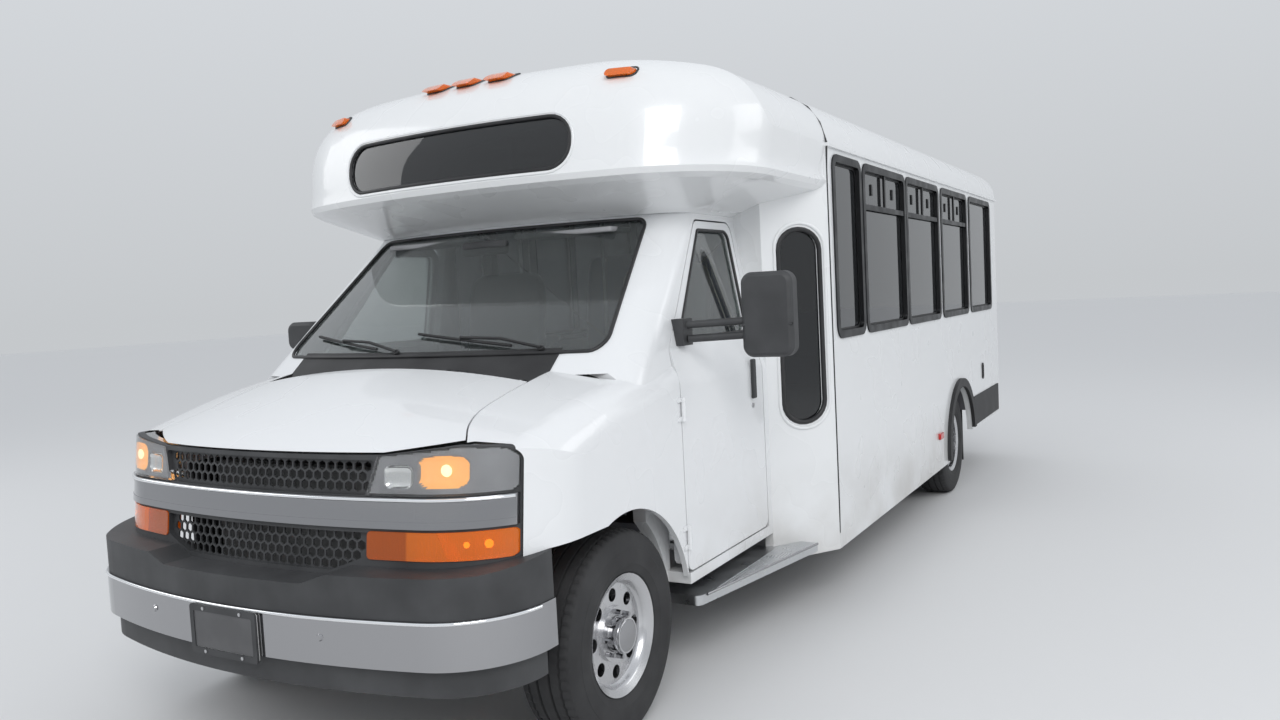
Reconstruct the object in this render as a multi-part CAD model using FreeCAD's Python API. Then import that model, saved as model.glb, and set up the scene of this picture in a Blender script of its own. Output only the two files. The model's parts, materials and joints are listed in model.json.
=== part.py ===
"""A minibus: a van cab on a ladder frame with a coach body behind it.

The frame of the model: X across (left side of the vehicle +X), Y along (front -Y), Z up, in millimetres.
The origin is on the ground, at the middle of the overall length and width.
A station is a distance behind the foremost face of the front plate.
"""
import FreeCAD, Part
import math
import os
from FreeCAD import Vector as V

os.makedirs("parts", exist_ok=True)

# Driving dimensions: the chassis
front_overhang = 893.0
wheelbase = 4496.0
rear_overhang = 1800.0
rear_bumper_depth = 90.0
plate_thickness = 8.7
tyre_diameter = 743.0
tyre_width = 223.0
rim_diameter = 406.0
front_track = 1735.0
rear_track = 1850.0
dual_spacing = 256.0
rail_spacing = 860.0
rail_height = 170.0
rail_width = 75.0
rail_web = 9.0
rail_bottom_z = 480.0
crossmember_depth = 50.0
kingpin_inset = 120.0

# Driving dimensions: the cab
cab_width = 2012.0
cab_bottom_z = 430.0
shoulder_z = 1213.0
belt_z = 1345.0
belt_half_width = 965.0
belt_station = 900.0
header_z = 1905.0
header_half_width = 868.0
header_station = 1553.0
glass_crown = 2600.0
cowl_station = 805.0
cowl_half = 668.0
door_front_station = 1335.0
door_rear_station = 2150.0
door_bottom_z = 480.0
door_top_z = 1872.0
door_top_station = 1790.0
cab_rear_station = 2203.0
cab_floor_z = 690.0
skin = 22.0
door_thickness = 70.0
panel_gap = 7.0
front_arch_radius = 445.0

# Driving dimensions: the nose, from the bumper's valance up to the hood's edge
nose_crown = 3600.0
nose_corner = 420.0
valance_z = 400.0
chrome_bottom_z = 490.0
chrome_top_z = 640.0
cover_centre_z = 735.0
cover_lamp_z = 768.0
cover_arch_z = 795.0
signal_bottom_z = 792.0
signal_top_z = 878.0
band_bottom_z = 888.0
band_top_z = 983.0
lamp_bottom_z = 988.0
lamp_inner_top_z = 1107.0
lamp_outer_top_z = 1133.0
lamp_inner_bottom = 482.0
lamp_inner_top = 522.0
lamp_outer_x = 925.0
fascia_rim = 12.0
fascia_station = 118.0
hood_edge_station = 160.0
hood_edge_z = 1108.0
bumper_crown = 3000.0
bumper_corner = 330.0
bumper_side_inset = 16.0
chrome_end_station = 452.0

# Driving dimensions: the coach body
body_width = 2438.0
seam_station = 2528.0
wall = 40.0
cap_wall = 30.0
skirt_z = 290.0
rear_skirt_z = 405.0
gutter_z = 2226.0
cove_radius = 265.0
roof_z = 2573.0
roof_crown = 6000.0
rear_corner_radius = 90.0
rear_top_radius = 200.0
floor_z = 740.0
floor_thickness = 40.0
window_sill_z = 1329.0
window_top_z = 2177.0
window_radius = 45.0
cap_window_half = 590.0
cap_window_bottom_z = 2091.0
cap_window_top_z = 2290.0
entry_station = 2600.0
entry_width = 840.0
entry_top_z = 2146.0
entry_bottom_z = 355.0
leaf_thickness = 35.0
rear_arch_radius = 415.0
flare_width = 55.0
rear_door_width = 860.0
rear_door_bottom_z = 615.0
rear_door_top_z = 2150.0

# Clearances
seat_gap = 0.3
shaft_clearance = 0.3
pin_clearance = 0.3
leaf_gap = 6.0
moving_gap = 6.0

# Worked out
overall_length = front_overhang + wheelbase + rear_overhang
y_nose = -overall_length / 2
tyre_radius = tyre_diameter / 2
tyre_half = tyre_width / 2
rim_radius = rim_diameter / 2
cab_half = cab_width / 2
body_half = body_width / 2
rail_top_z = rail_bottom_z + rail_height
rail_inner_x = (rail_spacing - rail_width) / 2
rail_outer_x = rail_inner_x + rail_width
floor_bearer_z = rail_top_z + seat_gap
crossmember_top_z = rail_top_z - rail_web
crossmember_bottom_z = crossmember_top_z - crossmember_depth


def at(station):
    """The Y of a station behind the nose."""
    return y_nose + station


y_front_axle = at(front_overhang)
y_rear_axle = at(front_overhang + wheelbase)
y_seam = at(seam_station)
y_body_end = at(overall_length - rear_bumper_depth)


# Shape helpers

def on_x(x):
    """Outline coordinates (y, z) in the plane X = x."""
    return lambda u, v: V(x, u, v)


def on_y(y):
    """Outline coordinates (x, z) in the plane Y = y."""
    return lambda u, v: V(u, y, v)


def on_z(z):
    """Outline coordinates (x, y) in the plane Z = z."""
    return lambda u, v: V(u, v, z)


def box(x0, x1, y0, y1, z0, z1):
    return Part.makeBox(x1 - x0, y1 - y0, z1 - z0, V(x0, y0, z0))


def rod(start, end, radius):
    axis = V(*end) - V(*start)
    return Part.makeCylinder(radius, axis.Length, V(*start), axis)


def rod_x(x0, x1, y, z, radius):
    return rod((x0, y, z), (x1, y, z), radius)


def rod_z(x, y, z0, z1, radius):
    return rod((x, y, z0), (x, y, z1), radius)


def tube_z(x, y, z0, z1, outer, inner):
    return rod_z(x, y, z0, z1, outer).cut(rod_z(x, y, z0 - 1.0, z1 + 1.0, inner))


def mirrored(shape):
    return shape.mirror(V(0, 0, 0), V(1, 0, 0))


def both_sides(shape):
    return Part.makeCompound([shape, mirrored(shape)])


def with_mirrors(shapes):
    return shapes + [mirrored(shape) for shape in shapes]


def fused(shapes):
    result = shapes[0].multiFuse(shapes[1:]) if len(shapes) > 1 else shapes[0]
    return result.removeSplitter()


def largest(shape):
    return max(shape.Solids, key=lambda solid: solid.Volume)


def symmetric(side):
    """Outline points of the +X side, followed by their mirror images back to the start."""
    return list(side) + [(-point[0],) + tuple(point[1:]) for point in reversed(side)]


def outline(points, place):
    """A closed wire through (u, v, radius) corners, each rounded to its radius."""
    flat = [V(p[0], p[1], 0) for p in points]
    radii = [p[2] if len(p) > 2 else 0.0 for p in points]
    ends, arcs = [], []
    count = len(points)
    for i in range(count):
        before, here, after = flat[i - 1], flat[i], flat[(i + 1) % count]
        a = (before - here).normalize()
        b = (after - here).normalize()
        if radii[i] <= 0:
            ends.append((here, here))
            arcs.append(None)
            continue
        half = a.getAngle(b) / 2
        reach = radii[i] / math.tan(half)
        centre = here + (a + b).normalize() * (radii[i] / math.sin(half))
        ends.append((here + a * reach, here + b * reach))
        arcs.append(centre + (here - centre).normalize() * radii[i])
    edges = []
    for i in range(count):
        enter, leave = ends[i]
        if arcs[i] is not None:
            edges.append(Part.Arc(place(enter.x, enter.y), place(arcs[i].x, arcs[i].y),
                                  place(leave.x, leave.y)).toShape())
        following = ends[(i + 1) % count][0]
        if (following - leave).Length > 1e-6:
            edges.append(Part.makeLine(place(leave.x, leave.y), place(following.x, following.y)))
    return Part.Wire(edges)


def slab(wire, direction):
    return Part.Face(wire).extrude(direction)


def slab_x(points, x0, x1):
    return slab(outline(points, on_x(x0)), V(x1 - x0, 0, 0))


def slab_y(points, y0, y1):
    return slab(outline(points, on_y(y0)), V(0, y1 - y0, 0))


def slab_z(points, z0, z1):
    return slab(outline(points, on_z(z0)), V(0, 0, z1 - z0))


def rectangle(u0, u1, v0, v1, radius=0.0):
    return [(u0, v0, radius), (u1, v0, radius), (u1, v1, radius), (u0, v1, radius)]


def sunk(apex, radius, x):
    """How far a crowned arc has fallen from its apex at x."""
    return apex - radius + math.sqrt(radius ** 2 - x ** 2)


def bow(apex, crown_radius, half_width, corner_radius, end, place):
    """A closed wire: a crowned arc through (0, apex), rounded corners and straight sides to `end`."""
    sign = 1.0 if apex > end else -1.0
    big = apex - sign * crown_radius
    inner_w = half_width - corner_radius
    rise = math.sqrt((crown_radius - corner_radius) ** 2 - inner_w ** 2)
    corner_v = big + sign * rise
    angle = math.atan2(rise, inner_w)
    tangent = (crown_radius * math.cos(angle), big + sign * crown_radius * math.sin(angle))
    middle = (inner_w + corner_radius * math.cos(angle / 2),
              corner_v + sign * corner_radius * math.sin(angle / 2))
    side, low = (half_width, corner_v), (half_width, end)

    def p(point, flip=1):
        return place(flip * point[0], point[1])

    return Part.Wire([Part.Arc(p(tangent, -1), place(0, apex), p(tangent)).toShape(),
                      Part.Arc(p(tangent), p(middle), p(side)).toShape(),
                      Part.makeLine(p(side), p(low)),
                      Part.makeLine(p(low), p(low, -1)),
                      Part.makeLine(p(low, -1), p(side, -1)),
                      Part.Arc(p(side, -1), p(middle, -1), p(tangent, -1)).toShape()])


def loft(wires, ruled=False):
    return Part.makeLoft(wires, True, ruled)


parts = {}


def add(name, shape):
    parts[name] = shape
    return shape


# The nose: every band round the front of the cab follows this plan

def nose_form(inset, z0, z1, back=front_overhang):
    """The leaning front of the cab between two heights, set in by `inset`."""
    lean = (hood_edge_station - fascia_station) / (hood_edge_z - cover_centre_z)

    def ring(z):
        station = fascia_station + lean * (z - cover_centre_z) + inset
        return bow(at(station), nose_crown - inset, cab_half - inset, nose_corner - inset,
                   at(back), on_z(z))
    return loft([ring(z0), ring(z1)], ruled=True)


def nose_shell(outer, inner, z0, z1):
    """A wall round the nose between two insets."""
    return nose_form(outer, z0, z1).cut(nose_form(inner, z0 - 1.0, z1 + 1.0, front_overhang + 1.0))


def bumper_band(outer, inner, z0, z1, back):
    """A level wall that follows the bumper's plan between two insets."""
    front = plate_thickness + seat_gap

    def ring(inset, z, end):
        return bow(at(front + inset), bumper_crown - inset, cab_half - bumper_side_inset - inset,
                   bumper_corner - inset, at(end), on_z(z))
    solid = slab(ring(outer, z0, back), V(0, 0, z1 - z0))
    return solid.cut(slab(ring(inner, z0 - 1.0, back + 1.0), V(0, 0, z1 - z0 + 2.0)))


# Hood and fenders: one skin, cut into panels

# station, height at the middle, crown radius, shoulder radius
HOOD_SECTIONS = ((60.0, 1040.0, 5200.0, 110.0),
                 (190.0, 1128.0, 5000.0, 130.0),
                 (330.0, 1190.0, 4800.0, 140.0),
                 (640.0, 1290.0, 4500.0, 140.0),
                 (985.0, 1365.0, 4300.0, 120.0),
                 (1335.0, 1420.0, 4300.0, 110.0))

# half width of the hood, station, radius of that corner of its plan
HOOD_PLAN = ((800.0, 0.0, 0.0),
             (800.0, 285.0, 0.0),
             (660.0, 480.0, 300.0))
hood_rear_half = cowl_half
hood_hinge_station = cowl_station + 50.0
hood_hinge_x = 600.0
hood_hinge_drop = 27.0
hood_arm_width = 12.0
hood_pin_radius = 7.0
hood_eye_radius = 13.0
cowl_recess = 50.0
cowl_sheet = 8.0


def hood_height(station, x):
    """The height of the skin over a point, between the sections on either side of it."""
    for (s0, h0, c0, _), (s1, h1, c1, _) in zip(HOOD_SECTIONS, HOOD_SECTIONS[1:]):
        if s0 <= station <= s1:
            share = (station - s0) / (s1 - s0)
            return sunk(h0 + share * (h1 - h0), c0 + share * (c1 - c0), x)
    raise ValueError("no section spans station " + str(station))


hood_hinge_z = hood_height(hood_hinge_station, hood_hinge_x) - hood_hinge_drop


def cab_front_form(inset):
    rings = [bow(height - inset, crown, cab_half - inset, shoulder, cab_bottom_z - inset, on_y(at(station)))
             for station, height, crown, shoulder in HOOD_SECTIONS]
    return loft(rings).common(nose_form(inset, cab_bottom_z - 30.0, HOOD_SECTIONS[-1][1] + 60.0,
                                        door_front_station + 50.0))


def hood_region(grow):
    """The plan of the hood, grown by `grow` on every side but the nose."""
    side = [(x + grow, at(station), radius) for x, station, radius in HOOD_PLAN]
    side.append((hood_rear_half + grow, at(cowl_station) + grow))
    return slab_z(symmetric(side), lamp_bottom_z, header_z)


def fascia_region(grow):
    """What the grille and lamps take out of the nose, as seen from the front."""
    half = lamp_outer_x + fascia_rim + grow
    side = [(half, 0.0), (half, lamp_outer_top_z - 8.0 + grow, 50.0), (780.0, lamp_outer_top_z + 5.0 + grow),
            (lamp_inner_top + 8.0, hood_edge_z + 2.0 + grow)]
    return slab_y(symmetric(side), at(0), at(470.0))


def above_cover(drop):
    """The space over the bumper cover in side view, lowered by `drop`."""
    points = [(at(-50.0), cover_lamp_z - drop), (at(200.0), cover_lamp_z - drop),
              (at(450.0), cover_arch_z - drop), (at(front_overhang), cover_arch_z - drop),
              (at(front_overhang), header_z), (at(-50.0), header_z)]
    return slab_x(points, -body_half, body_half)


def across(y, z, radius):
    """A cylinder along X through the whole width."""
    return rod_x(-body_half - 100.0, body_half + 100.0, y, z, radius)


front_arch = across(y_front_axle, tyre_radius, front_arch_radius)


# The cab's upper part: windshield, pillars and door frames share one form

glass_slope = (header_station - belt_station) / (header_z - belt_z)
greenhouse_base_z = 1150.0


def greenhouse(inset):
    """The cab's upper part, its sides leaning in from the belt to the header."""
    def ring(z):
        share = (z - belt_z) / (header_z - belt_z)
        half = belt_half_width + share * (header_half_width - belt_half_width)
        corner = 200.0 - share * 50.0
        station = belt_station + share * (header_station - belt_station)
        return bow(at(station + inset), glass_crown - inset, half - inset, corner - inset,
                   at(cab_rear_station), on_z(z))
    return loft([ring(greenhouse_base_z), ring(header_z)], ruled=True)


def greenhouse_shell(outer, inner, z0, z1):
    band = box(-cab_half, cab_half, at(0), at(cab_rear_station), z0, z1)
    return greenhouse(outer).common(band).cut(greenhouse(inner))


def cab_side_at(z):
    """Half the cab's width at a height above the belt."""
    share = (z - belt_z) / (header_z - belt_z)
    return belt_half_width + share * (header_half_width - belt_half_width)


def door_outline(grow):
    """The cab door in side view, grown by `grow`."""
    slope = 0.42 * grow
    return [(at(door_front_station) - grow, door_bottom_z - grow, 40.0),
            (at(door_front_station) - grow, belt_z + slope, 30.0),
            (at(door_top_station) - slope, door_top_z + grow, 60.0),
            (at(door_rear_station) + grow, door_top_z + grow, 50.0),
            (at(door_rear_station) + grow, door_bottom_z - grow, 40.0)]


def door_window_outline(shrink):
    sill, top = belt_z + 40.0, door_top_z - 42.0
    rear = at(door_rear_station) - 50.0 - shrink
    return [(at(door_front_station + 97.0) + 1.3 * shrink, sill + shrink, 20.0),
            (at(door_top_station) + 10.0 + 0.42 * shrink, top - shrink, 30.0),
            (rear, top - shrink, 40.0),
            (rear, sill + shrink, 40.0)]


def windshield_outline(shrink):
    bottom_z, top_z = belt_z + 27.0 + shrink, header_z - 23.0 - shrink
    return symmetric([(835.0 - shrink, bottom_z, 50.0), (728.0 - shrink, top_z, 50.0)])


def cab_side(thickness, y0, y1, z0):
    """The left flank of the cab up to the belt, as thick as a door."""
    top_z = belt_z + 12.0
    points = [(cab_half, z0), (cab_half, shoulder_z, 120.0), (belt_half_width + 1.0, top_z),
              (belt_half_width + 1.0 - thickness, top_z), (cab_half - thickness, shoulder_z),
              (cab_half - thickness, z0)]
    return slab_y(points, y0, y1)


def build_nose():
    skin_solid = cab_front_form(0.0).cut(cab_front_form(skin))
    hood_panel = skin_solid.common(hood_region(0.0)).cut(fascia_region(panel_gap))
    rest = skin_solid.cut(hood_region(panel_gap)).cut(fascia_region(0.0))
    rest = rest.common(box(-cab_half - 1, cab_half + 1, at(0), at(door_front_station) - panel_gap,
                           cab_bottom_z + 20.0, header_z)).cut(greenhouse(-seat_gap))
    middle = box(-cowl_half - panel_gap, cowl_half + panel_gap, at(cowl_station) + panel_gap,
                 at(door_front_station), hood_edge_z, header_z)
    bumper_space = box(-cab_half - 1, cab_half + 1, at(0), y_front_axle, 0.0, header_z)
    bumper_space = bumper_space.cut(above_cover(-seat_gap))
    return hood_panel, rest.cut(middle).cut(bumper_space).cut(front_arch)


def hinge_disc(x0, x1, radius):
    return rod_x(x0, x1, at(hood_hinge_station), hood_hinge_z, radius)


def hood_arm():
    """The left hinge arm under the hood, reaching back over the cowl's tray to its pin."""
    x0, x1 = hood_hinge_x, hood_hinge_x + hood_arm_width

    def under(station, drop):
        return at(station), hood_height(station, x1) - drop
    blade = slab_x([under(cowl_station - 100.0, 60.0), under(cowl_station - 100.0, 14.0),
                    under(cowl_station - 4.0, 14.0), (at(hood_hinge_station), hood_hinge_z + 11.0),
                    (at(hood_hinge_station) + 8.0, hood_hinge_z - 6.0), under(cowl_station, 38.0),
                    under(cowl_station - 25.0, 38.0)], x0, x1)
    return blade.fuse(hinge_disc(x0, x1, hood_eye_radius)).cut(
        hinge_disc(x0 - 1.0, x1 + 1.0, hood_pin_radius + pin_clearance))


hood, fenders = build_nose()
arm = hood_arm()
add("hood", fused([hood, arm, mirrored(arm)]))
add("front_fenders", fenders)


# The cowl between hood and windshield, with the wipers

wiper_base_z = belt_z + 33.0
wiper_reach = 240.0
wiper_radius = 6.0

# pivot x, middle of the blade x and z
WIPERS = ((600.0, 230.0, 1420.0),
          (-60.0, -430.0, 1420.0))


def glass_spot(x, z, off):
    """A point `off` millimetres in front of the windshield's outer face."""
    station = belt_station + (z - belt_z) * glass_slope + glass_crown - math.sqrt(glass_crown ** 2 - x * x)
    length = math.sqrt(1.0 + glass_slope ** 2)
    return (x, at(station) - off / length, z + off * glass_slope / length)


def chain(points, radius):
    """A bent round bar through points."""
    pieces = [rod(a, b, radius) for a, b in zip(points, points[1:])]
    return pieces + [Part.makeSphere(radius, V(*p)) for p in points[1:-1]]


def build_wiper(pivot_x, tip_x, tip_z):
    pivot = glass_spot(pivot_x, wiper_base_z, 16.0)
    tip = glass_spot(tip_x, tip_z, 22.0)
    elbow = glass_spot((pivot_x + tip_x) / 2, (wiper_base_z + tip_z) / 2 + 10.0, 26.0)
    lean = (tip_z - wiper_base_z) / (tip_x - pivot_x)
    blade = [glass_spot(tip_x + share * wiper_reach, tip_z + share * wiper_reach * lean, 9.0)
             for share in (-1.0, -0.5, 0.0, 0.5, 1.0)]
    return ([rod(glass_spot(pivot_x, wiper_base_z, 1.0), pivot, 2 * wiper_radius)]
            + chain([pivot, elbow, tip], wiper_radius) + chain(blade, wiper_radius)
            + [rod(glass_spot(tip_x, tip_z, 9.0), tip, wiper_radius)])


def build_cowl():
    half = cowl_half + panel_gap - seat_gap
    under = cowl_recess + cowl_sheet
    space = box(-half, half, at(cowl_station) - 20.0, at(door_front_station), hood_edge_z, header_z)
    tray = cab_front_form(cowl_recess).cut(cab_front_form(under)).common(space)
    cheek_space = box(half - cowl_sheet, half, at(cowl_station) + panel_gap + seat_gap,
                      at(door_front_station), hood_edge_z, header_z)
    cheek = cab_front_form(1.0).cut(cab_front_form(under)).common(cheek_space)
    strip = greenhouse_shell(-6.0, -seat_gap, belt_z - 90.0, belt_z + 27.0 + 13.0)
    strip = strip.common(box(-half, half, at(cowl_station), at(1180.0), 0.0, header_z))
    eye_space = hinge_disc(hood_hinge_x - moving_gap, hood_hinge_x + hood_arm_width + moving_gap,
                           hood_eye_radius + moving_gap)
    strip = strip.cut(eye_space).cut(mirrored(eye_space))
    body = fused([tray, cheek, mirrored(cheek)]).cut(greenhouse(-3.0)).fuse(strip)
    pieces = [body.removeSplitter()]
    x0 = hood_hinge_x + hood_arm_width + seat_gap
    foot_z = hood_height(hood_hinge_station, x0 + 10.0) - cowl_recess - 4.0
    hinge_y = at(hood_hinge_station)
    lug = box(x0, x0 + 10.0, hinge_y - 14.0, hinge_y + 14.0, foot_z, hood_hinge_z)
    lug = lug.fuse(hinge_disc(x0, x0 + 10.0, 14.0))
    pin = hinge_disc(hood_hinge_x - 4.0, x0 + 1.0, hood_pin_radius)
    pieces += with_mirrors([lug, pin])
    for wiper in WIPERS:
        pieces += build_wiper(*wiper)
    return fused(pieces)


add("cowl", build_cowl())


# The cab shell: pillars, header, sills and the hinge posts behind the fenders

hinge_post_inner_x = 850.0
hinge_post_outer_x = 905.0
hinge_post_front = 1190.0
hinge_post_top_z = 1240.0
sill_inner_x = 900.0


def build_cab_shell():
    shell = greenhouse_shell(0.0, 38.0, belt_z - 55.0, header_z)
    flank = greenhouse_shell(0.0, 38.0, greenhouse_base_z + 40.0, belt_z - 54.0)
    flank = flank.common(box(cowl_half + panel_gap, cab_half, at(1000.0), at(door_rear_station), 0.0,
                             header_z))
    shell = fused([shell, flank, mirrored(flank)])
    shell = shell.cut(slab_y(windshield_outline(-seat_gap), at(700.0), at(1750.0)))
    door_hole = slab_x(door_outline(panel_gap), 500.0, cab_half + 100.0)
    shell = shell.cut(door_hole).cut(mirrored(door_hole))
    post_y = at(door_rear_station) + panel_gap
    b_post = cab_side(40.0, post_y, at(cab_rear_station), cab_bottom_z)
    sill = box(sill_inner_x, cab_half, at(door_front_station) + 10.0, at(cab_rear_station), cab_bottom_z,
               door_bottom_z - panel_gap)
    hinge_post = box(hinge_post_inner_x, hinge_post_outer_x, at(hinge_post_front),
                     at(door_front_station) + 30.0, cab_bottom_z, hinge_post_top_z)
    toe = box(hinge_post_inner_x, sill_inner_x + 1.0, at(hinge_post_front), at(door_front_station) + 60.0,
              cab_bottom_z, door_bottom_z - panel_gap)
    hoop = greenhouse_shell(0.0, 60.0, belt_z - 45.0, header_z)
    hoop = hoop.common(box(-cab_half, cab_half, post_y, at(cab_rear_station), 0.0, header_z))
    return fused([shell, hoop] + with_mirrors([b_post, sill, hinge_post, toe])).cut(front_arch)


add("cab_shell", build_cab_shell())

windshield = greenhouse_shell(6.0, 12.0, belt_z - 45.0, header_z)
add("windshield", windshield.common(slab_y(windshield_outline(0.0), at(700.0), at(1750.0))))


# Hinges with an upright pin: barrels on the leaf, lugs and pins on the jamb

hinge_out = 11.0
hinge_pin_radius = 5.0
barrel_radius = 9.0
barrel_half = 28.0
lug_half = 46.0
strap_reach = 34.0


def strap(axis_x, axis_y, reach_x, reach_y, z0, z1):
    x0, x1 = sorted((axis_x + reach_x[0], axis_x + reach_x[1]))
    y0, y1 = sorted((axis_y + reach_y[0], axis_y + reach_y[1]))
    return box(x0, x1, y0, y1, z0, z1)


def leaf_barrels(axis_x, axis_y, reach_x, reach_y, heights):
    """Barrels on a leaf, each with a strap that lies on the leaf's outer face."""
    pieces = []
    for z in heights:
        z0, z1 = z - barrel_half, z + barrel_half
        hole = rod_z(axis_x, axis_y, z0 - 2.0, z1 + 2.0, barrel_radius - 1.0)
        pieces.append(tube_z(axis_x, axis_y, z0, z1, barrel_radius, hinge_pin_radius + pin_clearance))
        pieces.append(strap(axis_x, axis_y, reach_x, reach_y, z0, z1).cut(hole))
    return pieces


def jamb_lugs(axis_x, axis_y, reach_x, reach_y, heights):
    """Pins and lugs on the jamb, above and below each barrel."""
    pieces = []
    for z in heights:
        pieces.append(rod_z(axis_x, axis_y, z - lug_half, z + lug_half, hinge_pin_radius))
        reach = barrel_half + seat_gap
        for z0, z1 in ((z - lug_half, z - reach), (z + reach, z + lug_half)):
            pieces.append(rod_z(axis_x, axis_y, z0, z1, barrel_radius))
            pieces.append(strap(axis_x, axis_y, reach_x, reach_y, z0, z1))
    return pieces


# Cab doors, hinged at their front edges

CAB_HINGES = (620.0, 1120.0)
cab_hinge_x = cab_half + hinge_out
cab_hinge_y = at(door_front_station) - panel_gap / 2
handle_station = 2030.0
handle_bottom_z = 1085.0
handle_top_z = 1255.0
door_flange = 8.0
door_flange_width = 14.0


def build_cab_door():
    lower = cab_side(door_thickness, at(door_front_station), at(door_rear_station), door_bottom_z)
    upper = greenhouse_shell(0.0, 34.0, belt_z - 10.0, header_z)
    upper = upper.common(box(400.0, cab_half, at(1200.0), at(door_rear_station), 0.0, header_z))
    door = lower.fuse(upper).common(slab_x(door_outline(0.0), 500.0, 1100.0))
    rim = slab_x(door_outline(1.0), 500.0, 1100.0)
    rim = rim.cut(slab_x(door_outline(-door_flange_width), 499.0, 1101.0))
    behind_flange = greenhouse(door_flange).fuse(box(500.0, cab_half - door_flange, at(1200.0),
                                                     at(cab_rear_station), 0.0, shoulder_z))
    door = door.cut(rim.common(behind_flange))
    door = door.cut(slab_x(door_window_outline(-seat_gap), 500.0, 1100.0))
    handle = slab_x(rectangle(at(handle_station) - 14.0, at(handle_station) + 14.0, handle_bottom_z,
                              handle_top_z, 12.0), cab_half - 1.0, cab_half + 15.0)
    barrels = leaf_barrels(cab_hinge_x, cab_hinge_y, (-hinge_out - 1.0, -barrel_radius / 2),
                           (0.0, strap_reach), CAB_HINGES)
    return fused([door, handle] + barrels)


door_glass = greenhouse_shell(12.0, 17.0, belt_z - 10.0, header_z)
door_glass = door_glass.common(slab_x(door_window_outline(0.0), 500.0, 1100.0))
left_door = add("left_door", build_cab_door())
add("right_door", mirrored(left_door))
add("left_door_glass", door_glass)
add("right_door_glass", mirrored(door_glass))
fender_lugs = jamb_lugs(cab_hinge_x, cab_hinge_y, (-hinge_out - 1.0, -barrel_radius / 2), (-strap_reach, 0.0),
                        CAB_HINGES)
left_fender = fused([max(fenders.Solids, key=lambda solid: solid.CenterOfMass.x)] + fender_lugs)
add("front_fenders", both_sides(left_fender))


# Mirrors: the driver's is large and upright, the other small and wide

mirror_station = 1470.0
mirror_depth = 62.0
mirror_round = 18.0
mirror_foot_station = 1440.0


def mirror_housing(x0, x1, z0, z1, radius):
    def ring(inset, station):
        points = rectangle(x0 + inset, x1 - inset, z0 + inset, z1 - inset, radius - inset)
        return outline(points, on_y(at(station)))
    front, back = mirror_station, mirror_station + mirror_depth
    return loft([ring(mirror_round, front), ring(0.4 * mirror_round, front + 0.35 * mirror_round),
                 ring(0.0, front + mirror_round), ring(0.0, back)], ruled=True)


def build_mirror(x0, x1, z0, z1, radius, arm_heights):
    pieces = [mirror_housing(x0, x1, z0, z1, radius)]
    for z in arm_heights:
        pieces.append(rod((cab_side_at(z) + 40.0, at(mirror_foot_station), z),
                          (x0 + 50.0, at(mirror_station) + 40.0, max(z + 8.0, z0 + 40.0)), 15.0))
    foot_z0, foot_z1 = min(arm_heights) - 25.0, max(arm_heights) + 25.0
    foot_x, foot_y = cab_side_at(foot_z1), at(mirror_foot_station)
    pieces.append(box(foot_x - 40.0, foot_x + 52.0, foot_y - 40.0, foot_y + 40.0, foot_z0, foot_z1))
    return largest(fused(pieces).cut(greenhouse(-seat_gap)).cut(left_door))


add("left_mirror", build_mirror(1209.0, 1420.0, 1305.0, 1632.0, 45.0, (1385.0, 1440.0)))
add("right_mirror", mirrored(build_mirror(1110.0, 1315.0, 1376.0, 1518.0, 45.0, (1425.0,))))


# Grille, lamps and bumper

HEX_WINDOWS = (("upper", ((484.0, 987.0), (512.0, 1095.0, 12.0))),
               ("lower", ((345.0, 750.0), (446.0, 786.0, 30.0), (484.0, 802.0, 12.0), (484.0, 872.0))))
hex_pitch = 36.0
hex_flats = 29.0
hex_land = 9.0
mesh_front = 27.0
mesh_back = 33.0
mesh_drop = 800.0
fill_front = 10.0
fill_back = 34.0
signal_split_x = 760.0


def front_view(points, shape):
    return shape.common(slab_y(points, at(0.0), at(470.0)))


def lamp_outline(grow):
    return [(lamp_inner_bottom - grow, lamp_bottom_z - grow),
            (lamp_outer_x + grow, lamp_bottom_z - grow, 25.0),
            (lamp_outer_x + grow, lamp_outer_top_z - 12.0 + grow, 45.0), (790.0, lamp_outer_top_z + grow),
            (lamp_inner_top - grow, lamp_inner_top_z + grow)]


def signal_outline(grow):
    return rectangle(lamp_inner_bottom + 6.0 - grow, lamp_outer_x + grow, signal_bottom_z - grow,
                     signal_top_z + grow, 14.0 + grow)


def over_cover_front(rise):
    """The space over the cover's top edge, as seen from the front."""
    side = [(330.0, cover_centre_z + rise), (430.0, cover_lamp_z + rise), (body_half, cover_lamp_z + rise),
            (body_half, header_z)]
    return slab_y(symmetric(side), at(-20.0), at(front_overhang))


def centre_dip(rise):
    """The middle part of the cover's top edge, lower than its ends."""
    return over_cover_front(rise).common(box(-431.0, 431.0, at(-20.0), at(300.0), cover_centre_z - 30.0,
                                             cover_arch_z + 100.0))


def hexagon(x, z):
    radius = hex_flats / math.sqrt(3.0)
    corners = [(x + radius * math.cos(math.radians(angle)), z + radius * math.sin(math.radians(angle)))
               for angle in range(30, 390, 60)]
    return outline(corners, on_y(at(0.0)))


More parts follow.
